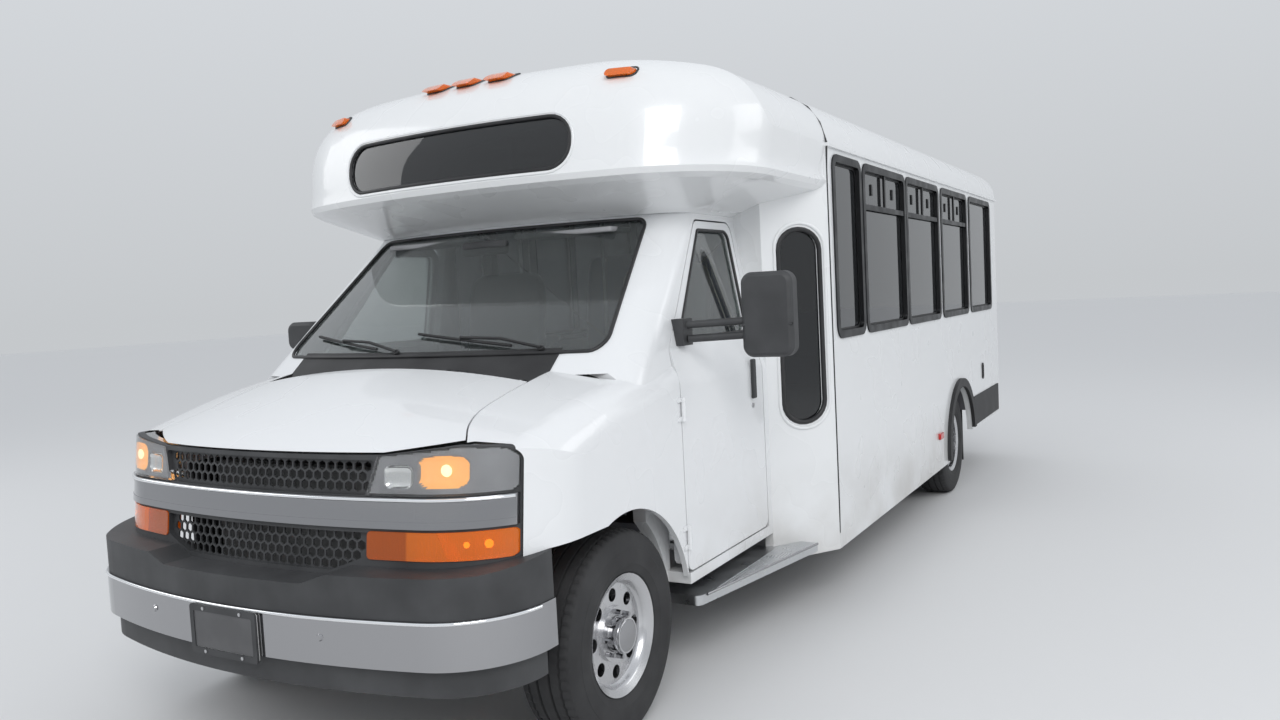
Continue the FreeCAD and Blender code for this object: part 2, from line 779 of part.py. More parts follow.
def honeycomb(window):
    """A curved mesh of hexagons behind one of the grille's windows."""
    half = max(point[0] for point in window) + hex_land
    bottom, top = window[0][1] - hex_land, window[-1][1] + hex_land
    rows = int((top - bottom - hex_pitch) / (hex_pitch * math.sqrt(3.0) / 2)) + 1
    wires = [outline(rectangle(-half, half, bottom, top), on_y(at(0.0)))]
    middle = (bottom + top) / 2
    for row in range(rows):
        z = middle + (row - (rows - 1) / 2) * hex_pitch * math.sqrt(3.0) / 2
        columns = int((2 * half - hex_pitch) / hex_pitch) - row % 2
        for column in range(columns):
            wires.append(hexagon((column - (columns - 1) / 2) * hex_pitch, z))
    sheet = Part.makeFace(wires, "Part::FaceMakerBullseye").extrude(V(0, 400.0, 0))
    lean = (hood_edge_station - fascia_station) / (hood_edge_z - cover_centre_z)
    middle_y = at(fascia_station) + mesh_front + (nose_crown - mesh_front) * math.sqrt(1.0 + lean ** 2)
    foot = V(0, middle_y - lean * mesh_drop, cover_centre_z - mesh_drop)
    axis = V(0, lean, 1.0)
    curve = Part.makeCylinder(nose_crown - mesh_front, 3 * mesh_drop, foot, axis)
    curve = curve.cut(Part.makeCylinder(nose_crown - mesh_back, 3 * mesh_drop, foot, axis))
    near = box(-half - 1.0, half + 1.0, at(0), at(400.0), bottom - 1.0, top + 1.0)
    return sheet.common(curve.common(near))


def build_grille():
    fill = nose_shell(fill_front, fill_back, cover_centre_z - 10.0, lamp_outer_top_z + 20.0)
    fill = fill.common(fascia_region(-seat_gap))
    for _, window in HEX_WINDOWS:
        fill = fill.cut(slab_y(symmetric(window), at(0.0), at(470.0)))
    outlines = (lamp_outline(seat_gap), signal_outline(seat_gap))
    holes = [slab_y(points, at(0.0), at(470.0)) for points in outlines]
    grille = fused([fill] + [honeycomb(window) for _, window in HEX_WINDOWS]).cut(with_mirrors(holes))
    return largest(grille.common(above_cover(-seat_gap).fuse(centre_dip(seat_gap))))


add("grille", build_grille())
bar = nose_shell(-2.0, fill_front - seat_gap, band_bottom_z, band_top_z)
bar = bar.cut(nose_shell(-3.0, 0.5, band_bottom_z + 22.0, band_top_z - 22.0))
add("grille_bar", front_view(rectangle(-lamp_outer_x, lamp_outer_x, band_bottom_z, band_top_z), bar))

lamp_form = nose_shell(3.0, 70.0, lamp_bottom_z - 5.0, lamp_outer_top_z + 5.0)
add("headlamps", both_sides(front_view(lamp_outline(0.0), lamp_form)))

signal = front_view(signal_outline(0.0), nose_shell(5.0, 60.0, signal_bottom_z - 5.0, signal_top_z + 5.0))
signal = signal.common(above_cover(-seat_gap))
inner_zone = slab_y([(400.0, 700.0), (signal_split_x + 40.0, 700.0), (signal_split_x - 40.0, 900.0),
                     (400.0, 900.0)], at(0.0), at(470.0))
outer_zone = slab_y([(signal_split_x + 40.0 + seat_gap, 700.0), (1100.0, 700.0), (1100.0, 900.0),
                     (signal_split_x - 40.0 + seat_gap, 900.0)], at(0.0), at(470.0))
amber = with_mirrors([signal.common(inner_zone), signal.common(outer_zone)])

bracket = box(rail_inner_x, rail_outer_x, at(50.0), at(250.0) - seat_gap, 500.0, 600.0)
chrome = bumper_band(0.0, 12.0, chrome_bottom_z, chrome_top_z, chrome_end_station)
add("front_bumper", fused([chrome, bracket, mirrored(bracket)]))

bracket_space = box(rail_inner_x - seat_gap, rail_outer_x + seat_gap, at(0.0), at(300.0), 500.0 - seat_gap,
                    600.0 + seat_gap)
cover = fused([bumper_band(6.0, 60.0, chrome_top_z + seat_gap, cover_arch_z, chrome_end_station),
               bumper_band(6.0, 170.0, cover_centre_z - 16.0, cover_arch_z, chrome_end_station)])
cover = cover.cut([above_cover(0.0), centre_dip(0.0)])
valance = bumper_band(30.0, 60.0, valance_z, chrome_bottom_z - seat_gap, chrome_end_station - 20.0)
spine = bumper_band(12.0 + seat_gap, 60.0, chrome_bottom_z - seat_gap, chrome_top_z + seat_gap,
                    chrome_end_station - 20.0)
add("bumper_cover", fused([cover, valance, spine]).cut(bracket_space).cut(mirrored(bracket_space)))

plate_half = 155.5
plate_half_height = 79.0
front_plate_z = 550.0
rear_plate_x = -725.0
rear_plate_z = 839.0
plate_hole_radius = 3.5
plate_hole_reach = (88.9, 60.325)


def build_plate(x, y, z):
    """A blank plate with its four fixing holes."""
    points = rectangle(x - plate_half, x + plate_half, z - plate_half_height, z + plate_half_height, 12.0)
    plate = slab_y(points, y, y + plate_thickness)
    for side in (-1, 1):
        for end in (-1, 1):
            hx, hz = x + side * plate_hole_reach[0], z + end * plate_hole_reach[1]
            plate = plate.cut(rod((hx, y - 1.0, hz), (hx, y + plate_thickness + 1.0, hz), plate_hole_radius))
    return plate


add("plates", Part.makeCompound([build_plate(0.0, at(0.0), front_plate_z),
                                 build_plate(rear_plate_x, y_body_end + seat_gap, rear_plate_z)]))


# Chassis

CROSSMEMBER_STATIONS = (300.0, 2010.0, 2900.0, 4100.0, 4850.0, 5960.0, 6900.0)
rail_front_station = 250.0
rail_rear_station = 7000.0
engine_bed_z = 560.0


def build_chassis():
    rail = box(rail_inner_x, rail_outer_x, at(rail_front_station), at(rail_rear_station), rail_bottom_z,
               rail_top_z)
    rail = rail.cut(box(rail_inner_x - 1.0, rail_outer_x - rail_web, at(rail_front_station) - 1.0,
                        at(rail_rear_station) + 1.0, rail_bottom_z + rail_web, rail_top_z - rail_web))
    reach = rail_outer_x - 4.0
    cross = [box(-reach, reach, at(station), at(station + 80.0), crossmember_bottom_z,
                 crossmember_top_z + 1.0)
             for station in CROSSMEMBER_STATIONS]
    cross.append(box(-reach, reach, y_front_axle - 70.0, y_front_axle + 70.0, rail_bottom_z, engine_bed_z))
    return fused([rail, mirrored(rail)] + cross)


add("chassis_frame", build_chassis())

engine = box(-300.0, 300.0, at(430.0), at(1090.0), engine_bed_z + seat_gap, 1010.0)
gearbox = box(-150.0, 150.0, at(1089.0), at(1950.0), 470.0, 640.0)
radiator = box(-380.0, 380.0, at(310.0), at(360.0), crossmember_top_z + 1.0 + seat_gap, 1040.0)
add("engine", Part.makeCompound([fused([engine, gearbox]), radiator]))

kingpin_x = front_track / 2 - kingpin_inset
lower_arm_z = 243.0
upper_arm_z = 465.0
arm_thickness = 32.0
arm_root_x = 505.0
pin_radius = 14.0
knuckle_radius = 32.0
spindle_radius = 26.0
wheel_x = front_track / 2
tower_outer_x = 520.0

# arm's lower face, half its length at the root
ARMS = ((lower_arm_z, 190.0),
        (upper_arm_z, 120.0))


def build_front_suspension():
    y = y_front_axle
    pieces = [box(rail_outer_x + seat_gap, tower_outer_x, y - 80.0, y + 80.0, 240.0, 640.0)]
    for z, reach in ARMS:
        tip_x = kingpin_x + 28.0
        pieces.append(slab_z([(arm_root_x, y - reach), (tip_x, y - 28.0, 20.0),
                              (tip_x, y + 28.0, 20.0), (arm_root_x, y + reach)], z, z + arm_thickness))
    side = fused(pieces).cut(rod_z(kingpin_x, y_front_axle, 200.0, 540.0, pin_radius + shaft_clearance))
    beam = box(-arm_root_x, arm_root_x, y_front_axle - 45.0, y_front_axle + 45.0, 240.0, 300.0)
    return fused([side, mirrored(side), beam])


add("front_suspension", build_front_suspension())


def build_knuckle():
    y, z = y_front_axle, tyre_radius
    arm = slab_z([(kingpin_x - 20.0, y + 10.0), (kingpin_x + 12.0, y + 10.0), (kingpin_x - 30.0, y + 150.0),
                  (kingpin_x - 56.0, y + 150.0)], z - 60.0, z - 36.0)
    return fused([rod_z(kingpin_x, y, lower_arm_z + arm_thickness + 1.0, upper_arm_z - 1.0, knuckle_radius),
                  rod_z(kingpin_x, y, lower_arm_z - 6.0, upper_arm_z + arm_thickness + 6.0, pin_radius),
                  rod_x(kingpin_x, wheel_x + 55.0, y, z, spindle_radius),
                  rod_x(wheel_x - 70.0, wheel_x - 46.0, y, z, 152.0),
                  box(wheel_x - 84.0, wheel_x - 32.0, y + 92.0, y + 150.0, z - 70.0, z + 70.0),
                  box(kingpin_x, wheel_x - 60.0, y - 60.0, y + 110.0, z - 60.0, z + 60.0), arm])


left_knuckle = add("left_knuckle", build_knuckle())
add("right_knuckle", mirrored(left_knuckle))


# Wheels: turned rings and discs with hand holes

bead_half = 80.0
hand_hole_radius = 24.0
hand_hole_circle = 139.0
hand_hole_count = 8
disc_radius = rim_radius - 11.0

TYRE_SIDE = ((bead_half, rim_radius), (88.5, rim_radius + 12.6), (101.0, rim_radius + 22.0),
             (tyre_half, rim_radius + 90.0), (tyre_half - 6.0, tyre_radius - 34.0),
             (tyre_half - 24.0, tyre_radius - 6.0), (70.0, tyre_radius))
RIM_SIDE = ((84.0, rim_radius - 12.0), (96.0, rim_radius + 12.0), (90.0, rim_radius + 12.0),
            (81.0, rim_radius - seat_gap))


def turned(side, centre_x, y):
    """A ring about the wheel's axis from the corners (offset from its middle, radius) of one half."""
    wire = outline(symmetric(side), lambda u, v: V(centre_x + u, y, tyre_radius + v))
    return Part.Face(wire).revolve(V(0, y, tyre_radius), V(1, 0, 0), 360)


def wheel_disc(x0, x1, y):
    disc = rod_x(x0, x1, y, tyre_radius, disc_radius)
    for i in range(hand_hole_count):
        angle = 2 * math.pi * i / hand_hole_count
        disc = disc.cut(rod_x(x0 - 5.0, x1 + 5.0, y + hand_hole_circle * math.cos(angle),
                              tyre_radius + hand_hole_circle * math.sin(angle), hand_hole_radius))
    return disc


def build_front_rim():
    y, z = y_front_axle, tyre_radius
    bell = rod_x(wheel_x + 20.0, wheel_x + 66.0, y, z, 98.0)
    hub = rod_x(wheel_x - 30.0, wheel_x + 110.0, y, z, 62.0)
    rim = fused([turned(RIM_SIDE, wheel_x, y), wheel_disc(wheel_x + 40.0, wheel_x + 54.0, y), bell, hub])
    return rim.cut(rod_x(wheel_x - 200.0, wheel_x + 60.0, y, z, spindle_radius + shaft_clearance))


front_left_tyre = add("front_left_tyre", turned(TYRE_SIDE, wheel_x, y_front_axle))
front_left_rim = add("front_left_rim", build_front_rim())
add("front_right_tyre", mirrored(front_left_tyre))
add("front_right_rim", mirrored(front_left_rim))

axle_end_radius = 42.0
axle_tube_radius = 56.0
rear_x = rear_track / 2
inner_x = rear_x - dual_spacing / 2
outer_x = rear_x + dual_spacing / 2


def build_rear_rims():
    y, z = y_rear_axle, tyre_radius
    bridge = rod_x(rear_x - 50.0, rear_x + 50.0, y, z, rim_radius - 2.0)
    bridge = bridge.cut(rod_x(rear_x - 51.0, rear_x + 51.0, y, z, rim_radius - 12.0))
    rims = fused([turned(RIM_SIDE, inner_x, y), turned(RIM_SIDE, outer_x, y),
                  wheel_disc(rear_x - 12.0, rear_x + 12.0, y), bridge,
                  rod_x(inner_x - 60.0, outer_x + 60.0, y, z, 78.0),
                  rod_x(inner_x - 90.0, inner_x + 10.0, y, z, 165.0)])
    return rims.cut(rod_x(inner_x - 200.0, rear_x + 40.0, y, z, axle_end_radius + shaft_clearance))


rear_left_tyres = add("rear_left_tyres", Part.makeCompound([turned(TYRE_SIDE, x, y_rear_axle)
                                                            for x in (inner_x, outer_x)]))
rear_left_rims = add("rear_left_rims", build_rear_rims())
add("rear_right_tyres", mirrored(rear_left_tyres))
add("rear_right_rims", mirrored(rear_left_rims))


# Rear axle on leaf springs

SPRING_TOP = ((-760.0, 500.0), (-720.0, 500.0, 30.0), (-120.0, 466.0, 200.0), (120.0, 466.0, 200.0),
              (720.0, 500.0, 30.0), (760.0, 500.0))
SPRING_BOTTOM = ((760.0, 478.0), (720.0, 478.0, 30.0), (120.0, 422.0, 200.0), (-120.0, 422.0, 200.0),
                 (-720.0, 478.0, 30.0), (-760.0, 478.0))


def build_rear_axle():
    y, z = y_rear_axle, tyre_radius
    tube_end = inner_x - 96.0
    x0, x1 = rail_outer_x + 0.5, rail_outer_x + 0.5 + rail_width
    spring = slab_x([(y + point[0],) + tuple(point[1:]) for point in SPRING_TOP + SPRING_BOTTOM], x0, x1)
    side = [spring, box(x0, x1, y - 60.0, y + 60.0, z + 20.0, 440.0)]
    side += [box(x0, x1, y + end - 30.0, y + end + 30.0, 470.0, 600.0) for end in (-740.0, 740.0)]
    return fused([rod_x(-tube_end, tube_end, y, z, axle_tube_radius),
                  rod_x(-rear_x - 35.0, rear_x + 35.0, y, z, axle_end_radius),
                  rod((-60.0, y - 20.0, z), (60.0, y - 20.0, z), 165.0),
                  rod((0, y - 300.0, z + 10.0), (0, y, z), 60.0)] + with_mirrors(side))


add("rear_axle", build_rear_axle())

pipe_radius = 30.0
pipe_x = -270.0
pipe_z = rail_bottom_z - pipe_radius - seat_gap
pipe_corner = at(4400.0)
shaft = rod((0, at(1952.0), 545.0), (0, y_rear_axle - 301.0, tyre_radius + 10.0), 40.0)
muffler = slab_y(rectangle(-360.0, -180.0, 400.0, 540.0, 60.0), at(3300.0), at(4000.0))
pipe = fused([rod((pipe_x, at(1500.0), pipe_z), (pipe_x, pipe_corner, pipe_z), pipe_radius), muffler,
              Part.makeSphere(pipe_radius, V(pipe_x, pipe_corner, pipe_z)),
              rod((pipe_x, pipe_corner, pipe_z), (-1150.0, at(4480.0), pipe_z), pipe_radius)])
tank = slab_y([(-370.0, 400.0, 40.0), (370.0, 400.0, 40.0), (370.0, crossmember_bottom_z - seat_gap),
               (-370.0, crossmember_bottom_z - seat_gap)], at(5980.0), at(6850.0))
add("underbody", Part.makeCompound([shaft, pipe, tank]))


# Floor, steps and wheel tubs

floor_half = body_half - wall - seat_gap
tub_inner_x = 640.0
tub_wall = 20.0
tub_radius = rear_arch_radius + 5.0 + tub_wall
tub_bottom_z = 560.0
step_sheet = 20.0
step_z = 545.0
BEARER_STATIONS = (2650.0, 3300.0, 3950.0, 4600.0, 6100.0, 6750.0)


def build_steps():
    """The entry's well with one step, from the ground step up to the saloon floor."""
    x0, x1, x2 = -floor_half, -960.0, -730.0
    s0, s1 = at(entry_station), at(entry_station + entry_width)
    low_z = entry_bottom_z - 30.0
    return [box(x0, x2 + step_sheet, s0 - step_sheet, s1 + step_sheet, low_z, low_z + step_sheet),
            box(x2, x2 + step_sheet, s0 - step_sheet, s1 + step_sheet, low_z, floor_z),
            box(x1, x2 + step_sheet, s0 - step_sheet, s1 + step_sheet, step_z - step_sheet, step_z),
            box(x1, x1 + step_sheet, s0 - step_sheet, s1 + step_sheet, low_z, step_z),
            box(x0, x2 + step_sheet, s0 - step_sheet, s0, low_z, floor_z),
            box(x0, x2 + step_sheet, s1, s1 + step_sheet, low_z, floor_z)]


def tub_form(x0, radius):
    return rod_x(x0, floor_half, y_rear_axle, tyre_radius, radius)


def build_floor():
    cab_floor = box(-sill_inner_x + seat_gap, sill_inner_x - seat_gap, at(1150.0), at(seam_station),
                    floor_bearer_z, cab_floor_z)
    post_space = box(hinge_post_inner_x - 1.0, sill_inner_x, at(hinge_post_front) - 1.0,
                     at(door_front_station) + 31.0, 600.0, 700.0)
    cab_floor = cab_floor.cut(post_space).cut(mirrored(post_space))
    firewall = box(-845.0, 845.0, at(1115.0), at(1150.0), floor_bearer_z, 1280.0)
    engine_cover = box(-330.0, 330.0, at(1149.0), at(1560.0), cab_floor_z - 1.0, 960.0)
    rear = y_body_end - wall - seat_gap
    inner_corner = rear_corner_radius - wall
    saloon = slab_z([(-floor_half, at(seam_station)), (floor_half, at(seam_station)),
                     (floor_half, rear, inner_corner), (-floor_half, rear, inner_corner)],
                    floor_z - floor_thickness, floor_z)
    riser = box(-960.0, 960.0, at(seam_station), at(seam_station + 30.0), floor_bearer_z, floor_z)
    bearers = [box(-1120.0, 1120.0, at(station), at(station + 60.0), floor_bearer_z, floor_z - 20.0)
               for station in BEARER_STATIONS]
    well = box(-body_half, -720.0, at(entry_station), at(entry_station + entry_width), 200.0, floor_z + 1.0)
    floor = fused([cab_floor, firewall, engine_cover, saloon, riser] + bearers).cut(well)
    tub = tub_form(tub_inner_x, tub_radius).common(box(tub_inner_x, floor_half, at(4000.0), at(7000.0),
                                                       tub_bottom_z, 1200.0))
    hollow = rod_x(tub_inner_x + tub_wall, floor_half + 1.0, y_rear_axle, tyre_radius, tub_radius - tub_wall)
    floor = fused([floor] + build_steps() + [tub, mirrored(tub)]).cut(hollow).cut(mirrored(hollow))
    arch = rod_x(540.0, 1100.0, y_front_axle, tyre_radius, front_arch_radius)
    return floor.cut(arch).cut(mirrored(arch)).removeSplitter()


add("floor", build_floor())


# The coach body: one hollow form cut into walls and roof

# window name, first and last station, with a sliding upper part
WINDOWS = (("narrow", 2627.0, 3049.0, False),
           ("first", 3121.0, 3942.0, True),
           ("second", 3999.0, 4821.0, True),
           ("third", 4929.0, 5759.0, True),
           ("last", 5880.0, 6720.0, False))
RIGHT_WINDOWS = (("short", entry_station + entry_width + 75.0, 3942.0, False),) + WINDOWS[2:]
rear_window_inner_x = 560.0
rear_window_outer_x = 1000.0
rear_window_bottom_z = 1400.0
rear_window_top_z = 2000.0
gutter_out = 14.0
side_split = body_half - rear_corner_radius - 5.0


def body_form(inset, z0):
    half, end, top = body_half - inset, y_body_end - inset, roof_z - inset
    corner = rear_corner_radius - inset
    section = bow(top, roof_crown, half, cove_radius - inset, z0, on_y(at(seam_station)))
    solid = slab(section, V(0, end - at(seam_station), 0))
    plan = slab_z([(-half - 50.0, at(seam_station) - 10.0), (half + 50.0, at(seam_station) - 10.0),
                   (half + 50.0, end - 200.0), (half, end - 199.0), (half, end, corner), (-half, end, corner),
                   (-half, end - 199.0), (-half - 50.0, end - 200.0)], z0, roof_z + 50.0)
    side = slab_x([(at(seam_station) - 10.0, z0), (end, z0), (end, top - 12.0, rear_top_radius - inset),
                   (end - 600.0, top + 1.0), (at(seam_station) - 10.0, top + 1.0)],
                  -body_half - 60.0, body_half + 60.0)
    return solid.common(plan).common(side)


def window_points(first, last, grow):
    return rectangle(at(first) - grow, at(last) + grow, window_sill_z - grow, window_top_z + grow,
                     window_radius + grow)


def rear_window_points(grow):
    return rectangle(rear_window_inner_x - grow, rear_window_outer_x + grow, rear_window_bottom_z - grow,
                     rear_window_top_z + grow, 40.0 + grow)


def build_body():
    def zone(x0, x1, z0, z1, first=seam_station - 10.0, last=overall_length + 100.0):
        return box(x0, x1, at(first), at(last), z0, z1)
    half = body_half + 10.0
    shell = body_form(0.0, skirt_z - 50.0).cut(body_form(wall, skirt_z - 60.0))
    shell = shell.cut(zone(-half, half, 0.0, skirt_z))
    shell = shell.cut(zone(-half, half, 0.0, rear_skirt_z, front_overhang + wheelbase))
    shell = shell.cut(across(y_rear_axle, tyre_radius, rear_arch_radius))
    roof = shell.common(zone(0.0, half, gutter_z, roof_z + 100.0))
    low = shell.common(zone(-half, half, 0.0, gutter_z - seat_gap))
    left = low.common(zone(side_split, half, 0.0, gutter_z))
    right = low.common(zone(-half, -side_split, 0.0, gutter_z))
    rear = low.common(zone(-side_split + seat_gap, side_split - seat_gap, 0.0, gutter_z, 6990.0))
    for _, first, last, _ in WINDOWS:
        left = left.cut(slab_x(window_points(first, last, seat_gap), 1100.0, 1300.0))
    for _, first, last, _ in RIGHT_WINDOWS:
        right = right.cut(slab_x(window_points(first, last, seat_gap), -1300.0, -1100.0))
    right = right.cut(zone(-1300.0, -1100.0, 0.0, entry_top_z, entry_station, entry_station + entry_width))
    door_half_hole = rear_door_width / 2
    rear = rear.cut(zone(-door_half_hole, door_half_hole, rear_door_bottom_z, rear_door_top_z, 6990.0))
    hole = slab_y(rear_window_points(0.0), at(7000.0), at(7200.0))
    rear = rear.cut(hole).cut(mirrored(hole))
    gutter = box(body_half - 1.0, body_half + gutter_out, at(seam_station), y_body_end - 60.0, gutter_z,
                 gutter_z + 16.0)
    return left, right, rear, fused(with_mirrors([roof, gutter]))


left_wall, right_wall, rear_wall, roof = build_body()
add("left_wall", left_wall)
add("roof", roof)

frame_lip = 24.0
frame_land = 14.0
frame_proud = 8.0
pane_outer = 17.0
pane_inner = 22.0
slider_share = 0.24


def window_frame(first, last, slider):
    x_out = body_half + frame_proud
    ring = slab_x(window_points(first, last, frame_lip), body_half + seat_gap, x_out)
    ring = ring.fuse(slab_x(window_points(first, last, 0.0), body_half - wall, x_out))
    ring = ring.cut(slab_x(window_points(first, last, -frame_land), body_half - wall - 1.0, x_out + 1.0))
    if not slider:
        return ring
    z = window_top_z - slider_share * (window_top_z - window_sill_z)
    middle = at((first + last) / 2)
    bar = box(body_half - 8.0, body_half + 4.0, at(first), at(last), z - 14.0, z + 14.0)
    post = box(body_half - 8.0, body_half + 4.0, middle - 12.0, middle + 12.0, z, window_top_z)
    return fused([ring, bar, post])


def window_pane(first, last):
    return slab_x(window_points(first, last, -frame_land - seat_gap), body_half - pane_inner,
                  body_half - pane_outer)


def rear_window_frame():
    ring = slab_y(rear_window_points(20.0), y_body_end + seat_gap, y_body_end + frame_proud)
    ring = ring.fuse(slab_y(rear_window_points(-seat_gap), y_body_end - wall, y_body_end + frame_proud))
    return ring.cut(slab_y(rear_window_points(-frame_land), y_body_end - wall - 1.0, y_body_end + 9.0))


rear_pane = slab_y(rear_window_points(-frame_land - seat_gap), y_body_end - pane_inner,
                   y_body_end - pane_outer)
frames = [window_frame(first, last, slider) for _, first, last, slider in WINDOWS]
frames += [mirrored(window_frame(first, last, slider)) for _, first, last, slider in RIGHT_WINDOWS]
frames += with_mirrors([rear_window_frame()])
panes = [window_pane(first, last) for _, first, last, _ in WINDOWS]
panes += [mirrored(window_pane(first, last)) for _, first, last, _ in RIGHT_WINDOWS]
panes += with_mirrors([rear_pane])
add("window_frames", Part.makeCompound(frames))


# The front cap above the windshield

# height, front station, half width, corner radius
CAP_LOW = ((header_z + seat_gap, 1555.0, header_half_width, 150.0),
           (2018.0, 1250.0, 1180.0, 530.0),
           (2036.0, 1216.0, 1206.0, 555.0),
           (2060.0, 1205.0, 1219.0, 560.0))
CAP_RINGS = ((2060.0, 1205.0, 1219.0, 560.0),
             (2280.0, 1240.0, 1219.0, 560.0),
             (2400.0, 1290.0, 1180.0, 550.0),
             (2490.0, 1378.0, 1085.0, 530.0),
             (2550.0, 1530.0, 960.0, 520.0),
             (2590.0, 1800.0, 800.0, 500.0))
cap_crown = 3200.0
cap_window_recess = 8.0
cap_window_lip = 14.0

# marker's middle x and z
MARKERS = ((0.0, 2522.0), (172.0, 2521.0), (-172.0, 2521.0), (766.0, 2450.0), (-766.0, 2450.0))
marker_half = 52.0
marker_half_height = 16.0
marker_proud = 22.0


def cap_form(inset):
    """The cap's form, set in on all sides; its upper rings also sink."""
    low_z, high_z = CAP_RINGS[1][0], CAP_RINGS[-2][0]

    def ring(z, station, half, corner):
        sink = inset * min(1.0, max(0.0, (z - low_z) / (high_z - low_z)))
        return bow(at(station + inset), cap_crown - inset, half - inset, corner - inset, at(seam_station),
                   on_z(z - sink))
    upper = loft([ring(*row) for row in CAP_RINGS])
    low = loft([ring(*row) for row in CAP_LOW], ruled=True)
    section = bow(roof_z - inset, roof_crown, body_half - inset, cove_radius - inset, 1800.0,
                  on_y(at(1000.0)))
    return upper.fuse(low).common(slab(section, V(0, seam_station - 1000.0 - seat_gap, 0)))


def cap_window(grow):
    height = cap_window_top_z - cap_window_bottom_z
    return slab_y(rectangle(-cap_window_half - grow, cap_window_half + grow, cap_window_bottom_z - grow,
                            cap_window_top_z + grow, 0.46 * height + grow), at(1100.0), at(1700.0))


cap_outer = cap_form(0.0)
cap_clear = cap_form(-seat_gap)
cap = cap_outer.cut(cap_form(cap_wall))
recess = cap_outer.cut(cap_form(cap_window_recess)).common(cap_window(cap_window_lip))
add("front_cap", cap.cut(recess).cut(cap_window(0.0)))
panes.append(cap_form(12.0).cut(cap_form(18.0)).common(cap_window(-seat_gap)))

marker_form = cap_form(-marker_proud).cut(cap_clear)
for x, z in MARKERS:
    points = rectangle(x - marker_half, x + marker_half, z - marker_half_height, z + marker_half_height, 14.0)
    amber.append(largest(marker_form.common(slab_y(points, at(1200.0), at(1750.0)))))
side_marker = slab_x(rectangle(at(4655.0), at(4745.0), 500.0, 536.0, 12.0), body_half + seat_gap,
                     body_half + 16.0)
add("amber_lamps", Part.makeCompound(amber + [side_marker, mirrored(side_marker)]))


# Transition panels between the cab and the wider body

slot_radius = 90.0
slot_lip = 12.0
return_wall = 16.0
SLOT = (2290.0, 2475.0, 936.0, 1830.0)


def moved(shape, x):
    result = shape.copy()
    result.translate(V(x, 0, 0))
    return result


def slot(grow):
    first, last, bottom, top = SLOT
    return slab_x(rectangle(at(first) - grow, at(last) + grow, bottom - grow, top + grow, slot_radius + grow),
                  800.0, 1300.0)


def build_transition():
    """The left slanting panel with its tall window, and the step in from the narrower cab."""
    y0, y1 = at(cab_rear_station) + seat_gap, at(seam_station) - seat_gap
    wedge = slab_z([(cab_half, y0), (body_half, y1), (body_half - wall, y1), (cab_half - wall, y0)],
                   skirt_z, CAP_LOW[-1][0])
    lower_cap = slab_y([(cab_half - 1.0, shoulder_z - 10.0), (cab_half - 1.0, CAP_LOW[-1][0]),
                        (header_half_width - wall, CAP_LOW[-1][0]), (header_half_width - wall, header_z),
                        (belt_half_width - wall, belt_z), (cab_half - wall, shoulder_z - 10.0)],
                       y0, y0 + return_wall)
    panel = largest(wedge.cut(slot(0.0)).fuse(lower_cap).cut(cap_clear).removeSplitter())
    lip = wedge.cut(moved(wedge, -6.0)).common(slot(slot_lip))
    pane = wedge.common(slot(-seat_gap)).common(moved(wedge, -12.0)).cut(moved(wedge, -20.0))
    return panel.cut(lip), largest(pane)


transition, transition_pane = build_transition()
add("transition_panels", both_sides(largest(transition)))
panes += with_mirrors([transition_pane])
add("body_glass", Part.makeCompound(panes))


# Entry leaves and the rear door

LEAF_HINGES = (520.0, 1250.0, 1980.0)
REAR_HINGES = (800.0, 1300.0, 1960.0)
rear_panes_bottom_top = ((rear_door_bottom_z + 120.0, 1250.0), (1340.0, 2070.0))
leaf_border = 70.0
leaf_pane_z = (620.0, 2040.0)
lever_x = -rear_door_width / 2 + 66.0
lever_out = 25.0
lever_radius = 11.0


def build_leaf(first, last):
    x0, x1 = -body_half, -body_half + leaf_thickness
    leaf = box(x0, x1, at(first), at(last), entry_bottom_z, entry_top_z - leaf_gap)

    def window(shrink):
        return rectangle(at(first) + leaf_border + shrink, at(last) - leaf_border - shrink,
                         leaf_pane_z[0] + shrink, leaf_pane_z[1] - shrink, 60.0 - shrink)
    return leaf.cut(slab_x(window(0.0), x0 - 1.0, x1 + 1.0)), slab_x(window(seat_gap), x0 + 14.0, x0 + 20.0)


middle_station = entry_station + entry_width / 2
leaf_axis_x = -body_half - hinge_out
front_axis_y = at(entry_station + leaf_gap / 2)
rear_axis_y = at(entry_station + entry_width - leaf_gap / 2)
front_leaf, front_leaf_glass = build_leaf(entry_station + leaf_gap, middle_station - leaf_gap / 2)
rear_leaf, rear_leaf_glass = build_leaf(middle_station + leaf_gap / 2, entry_station + entry_width - leaf_gap)
side_face = (6.0, hinge_out + 1.0)
ahead, behind = (-strap_reach, 0.0), (0.0, strap_reach)
add("entry_front_leaf", fused([front_leaf] + leaf_barrels(leaf_axis_x, front_axis_y, side_face, behind,
                                                          LEAF_HINGES)))
add("entry_rear_leaf", fused([rear_leaf] + leaf_barrels(leaf_axis_x, rear_axis_y, side_face, ahead,
                                                        LEAF_HINGES)))
add("entry_front_glass", front_leaf_glass)
add("entry_rear_glass", rear_leaf_glass)
add("right_wall", fused([right_wall] + jamb_lugs(leaf_axis_x, front_axis_y, side_face, ahead, LEAF_HINGES)
                        + jamb_lugs(leaf_axis_x, rear_axis_y, side_face, behind, LEAF_HINGES)))


def rear_door_pane(bottom, top, shrink, y0, y1):
    half = 320.0 - shrink
    return slab_y(rectangle(-half, half, bottom + shrink, top - shrink, 50.0 - shrink), y0, y1)


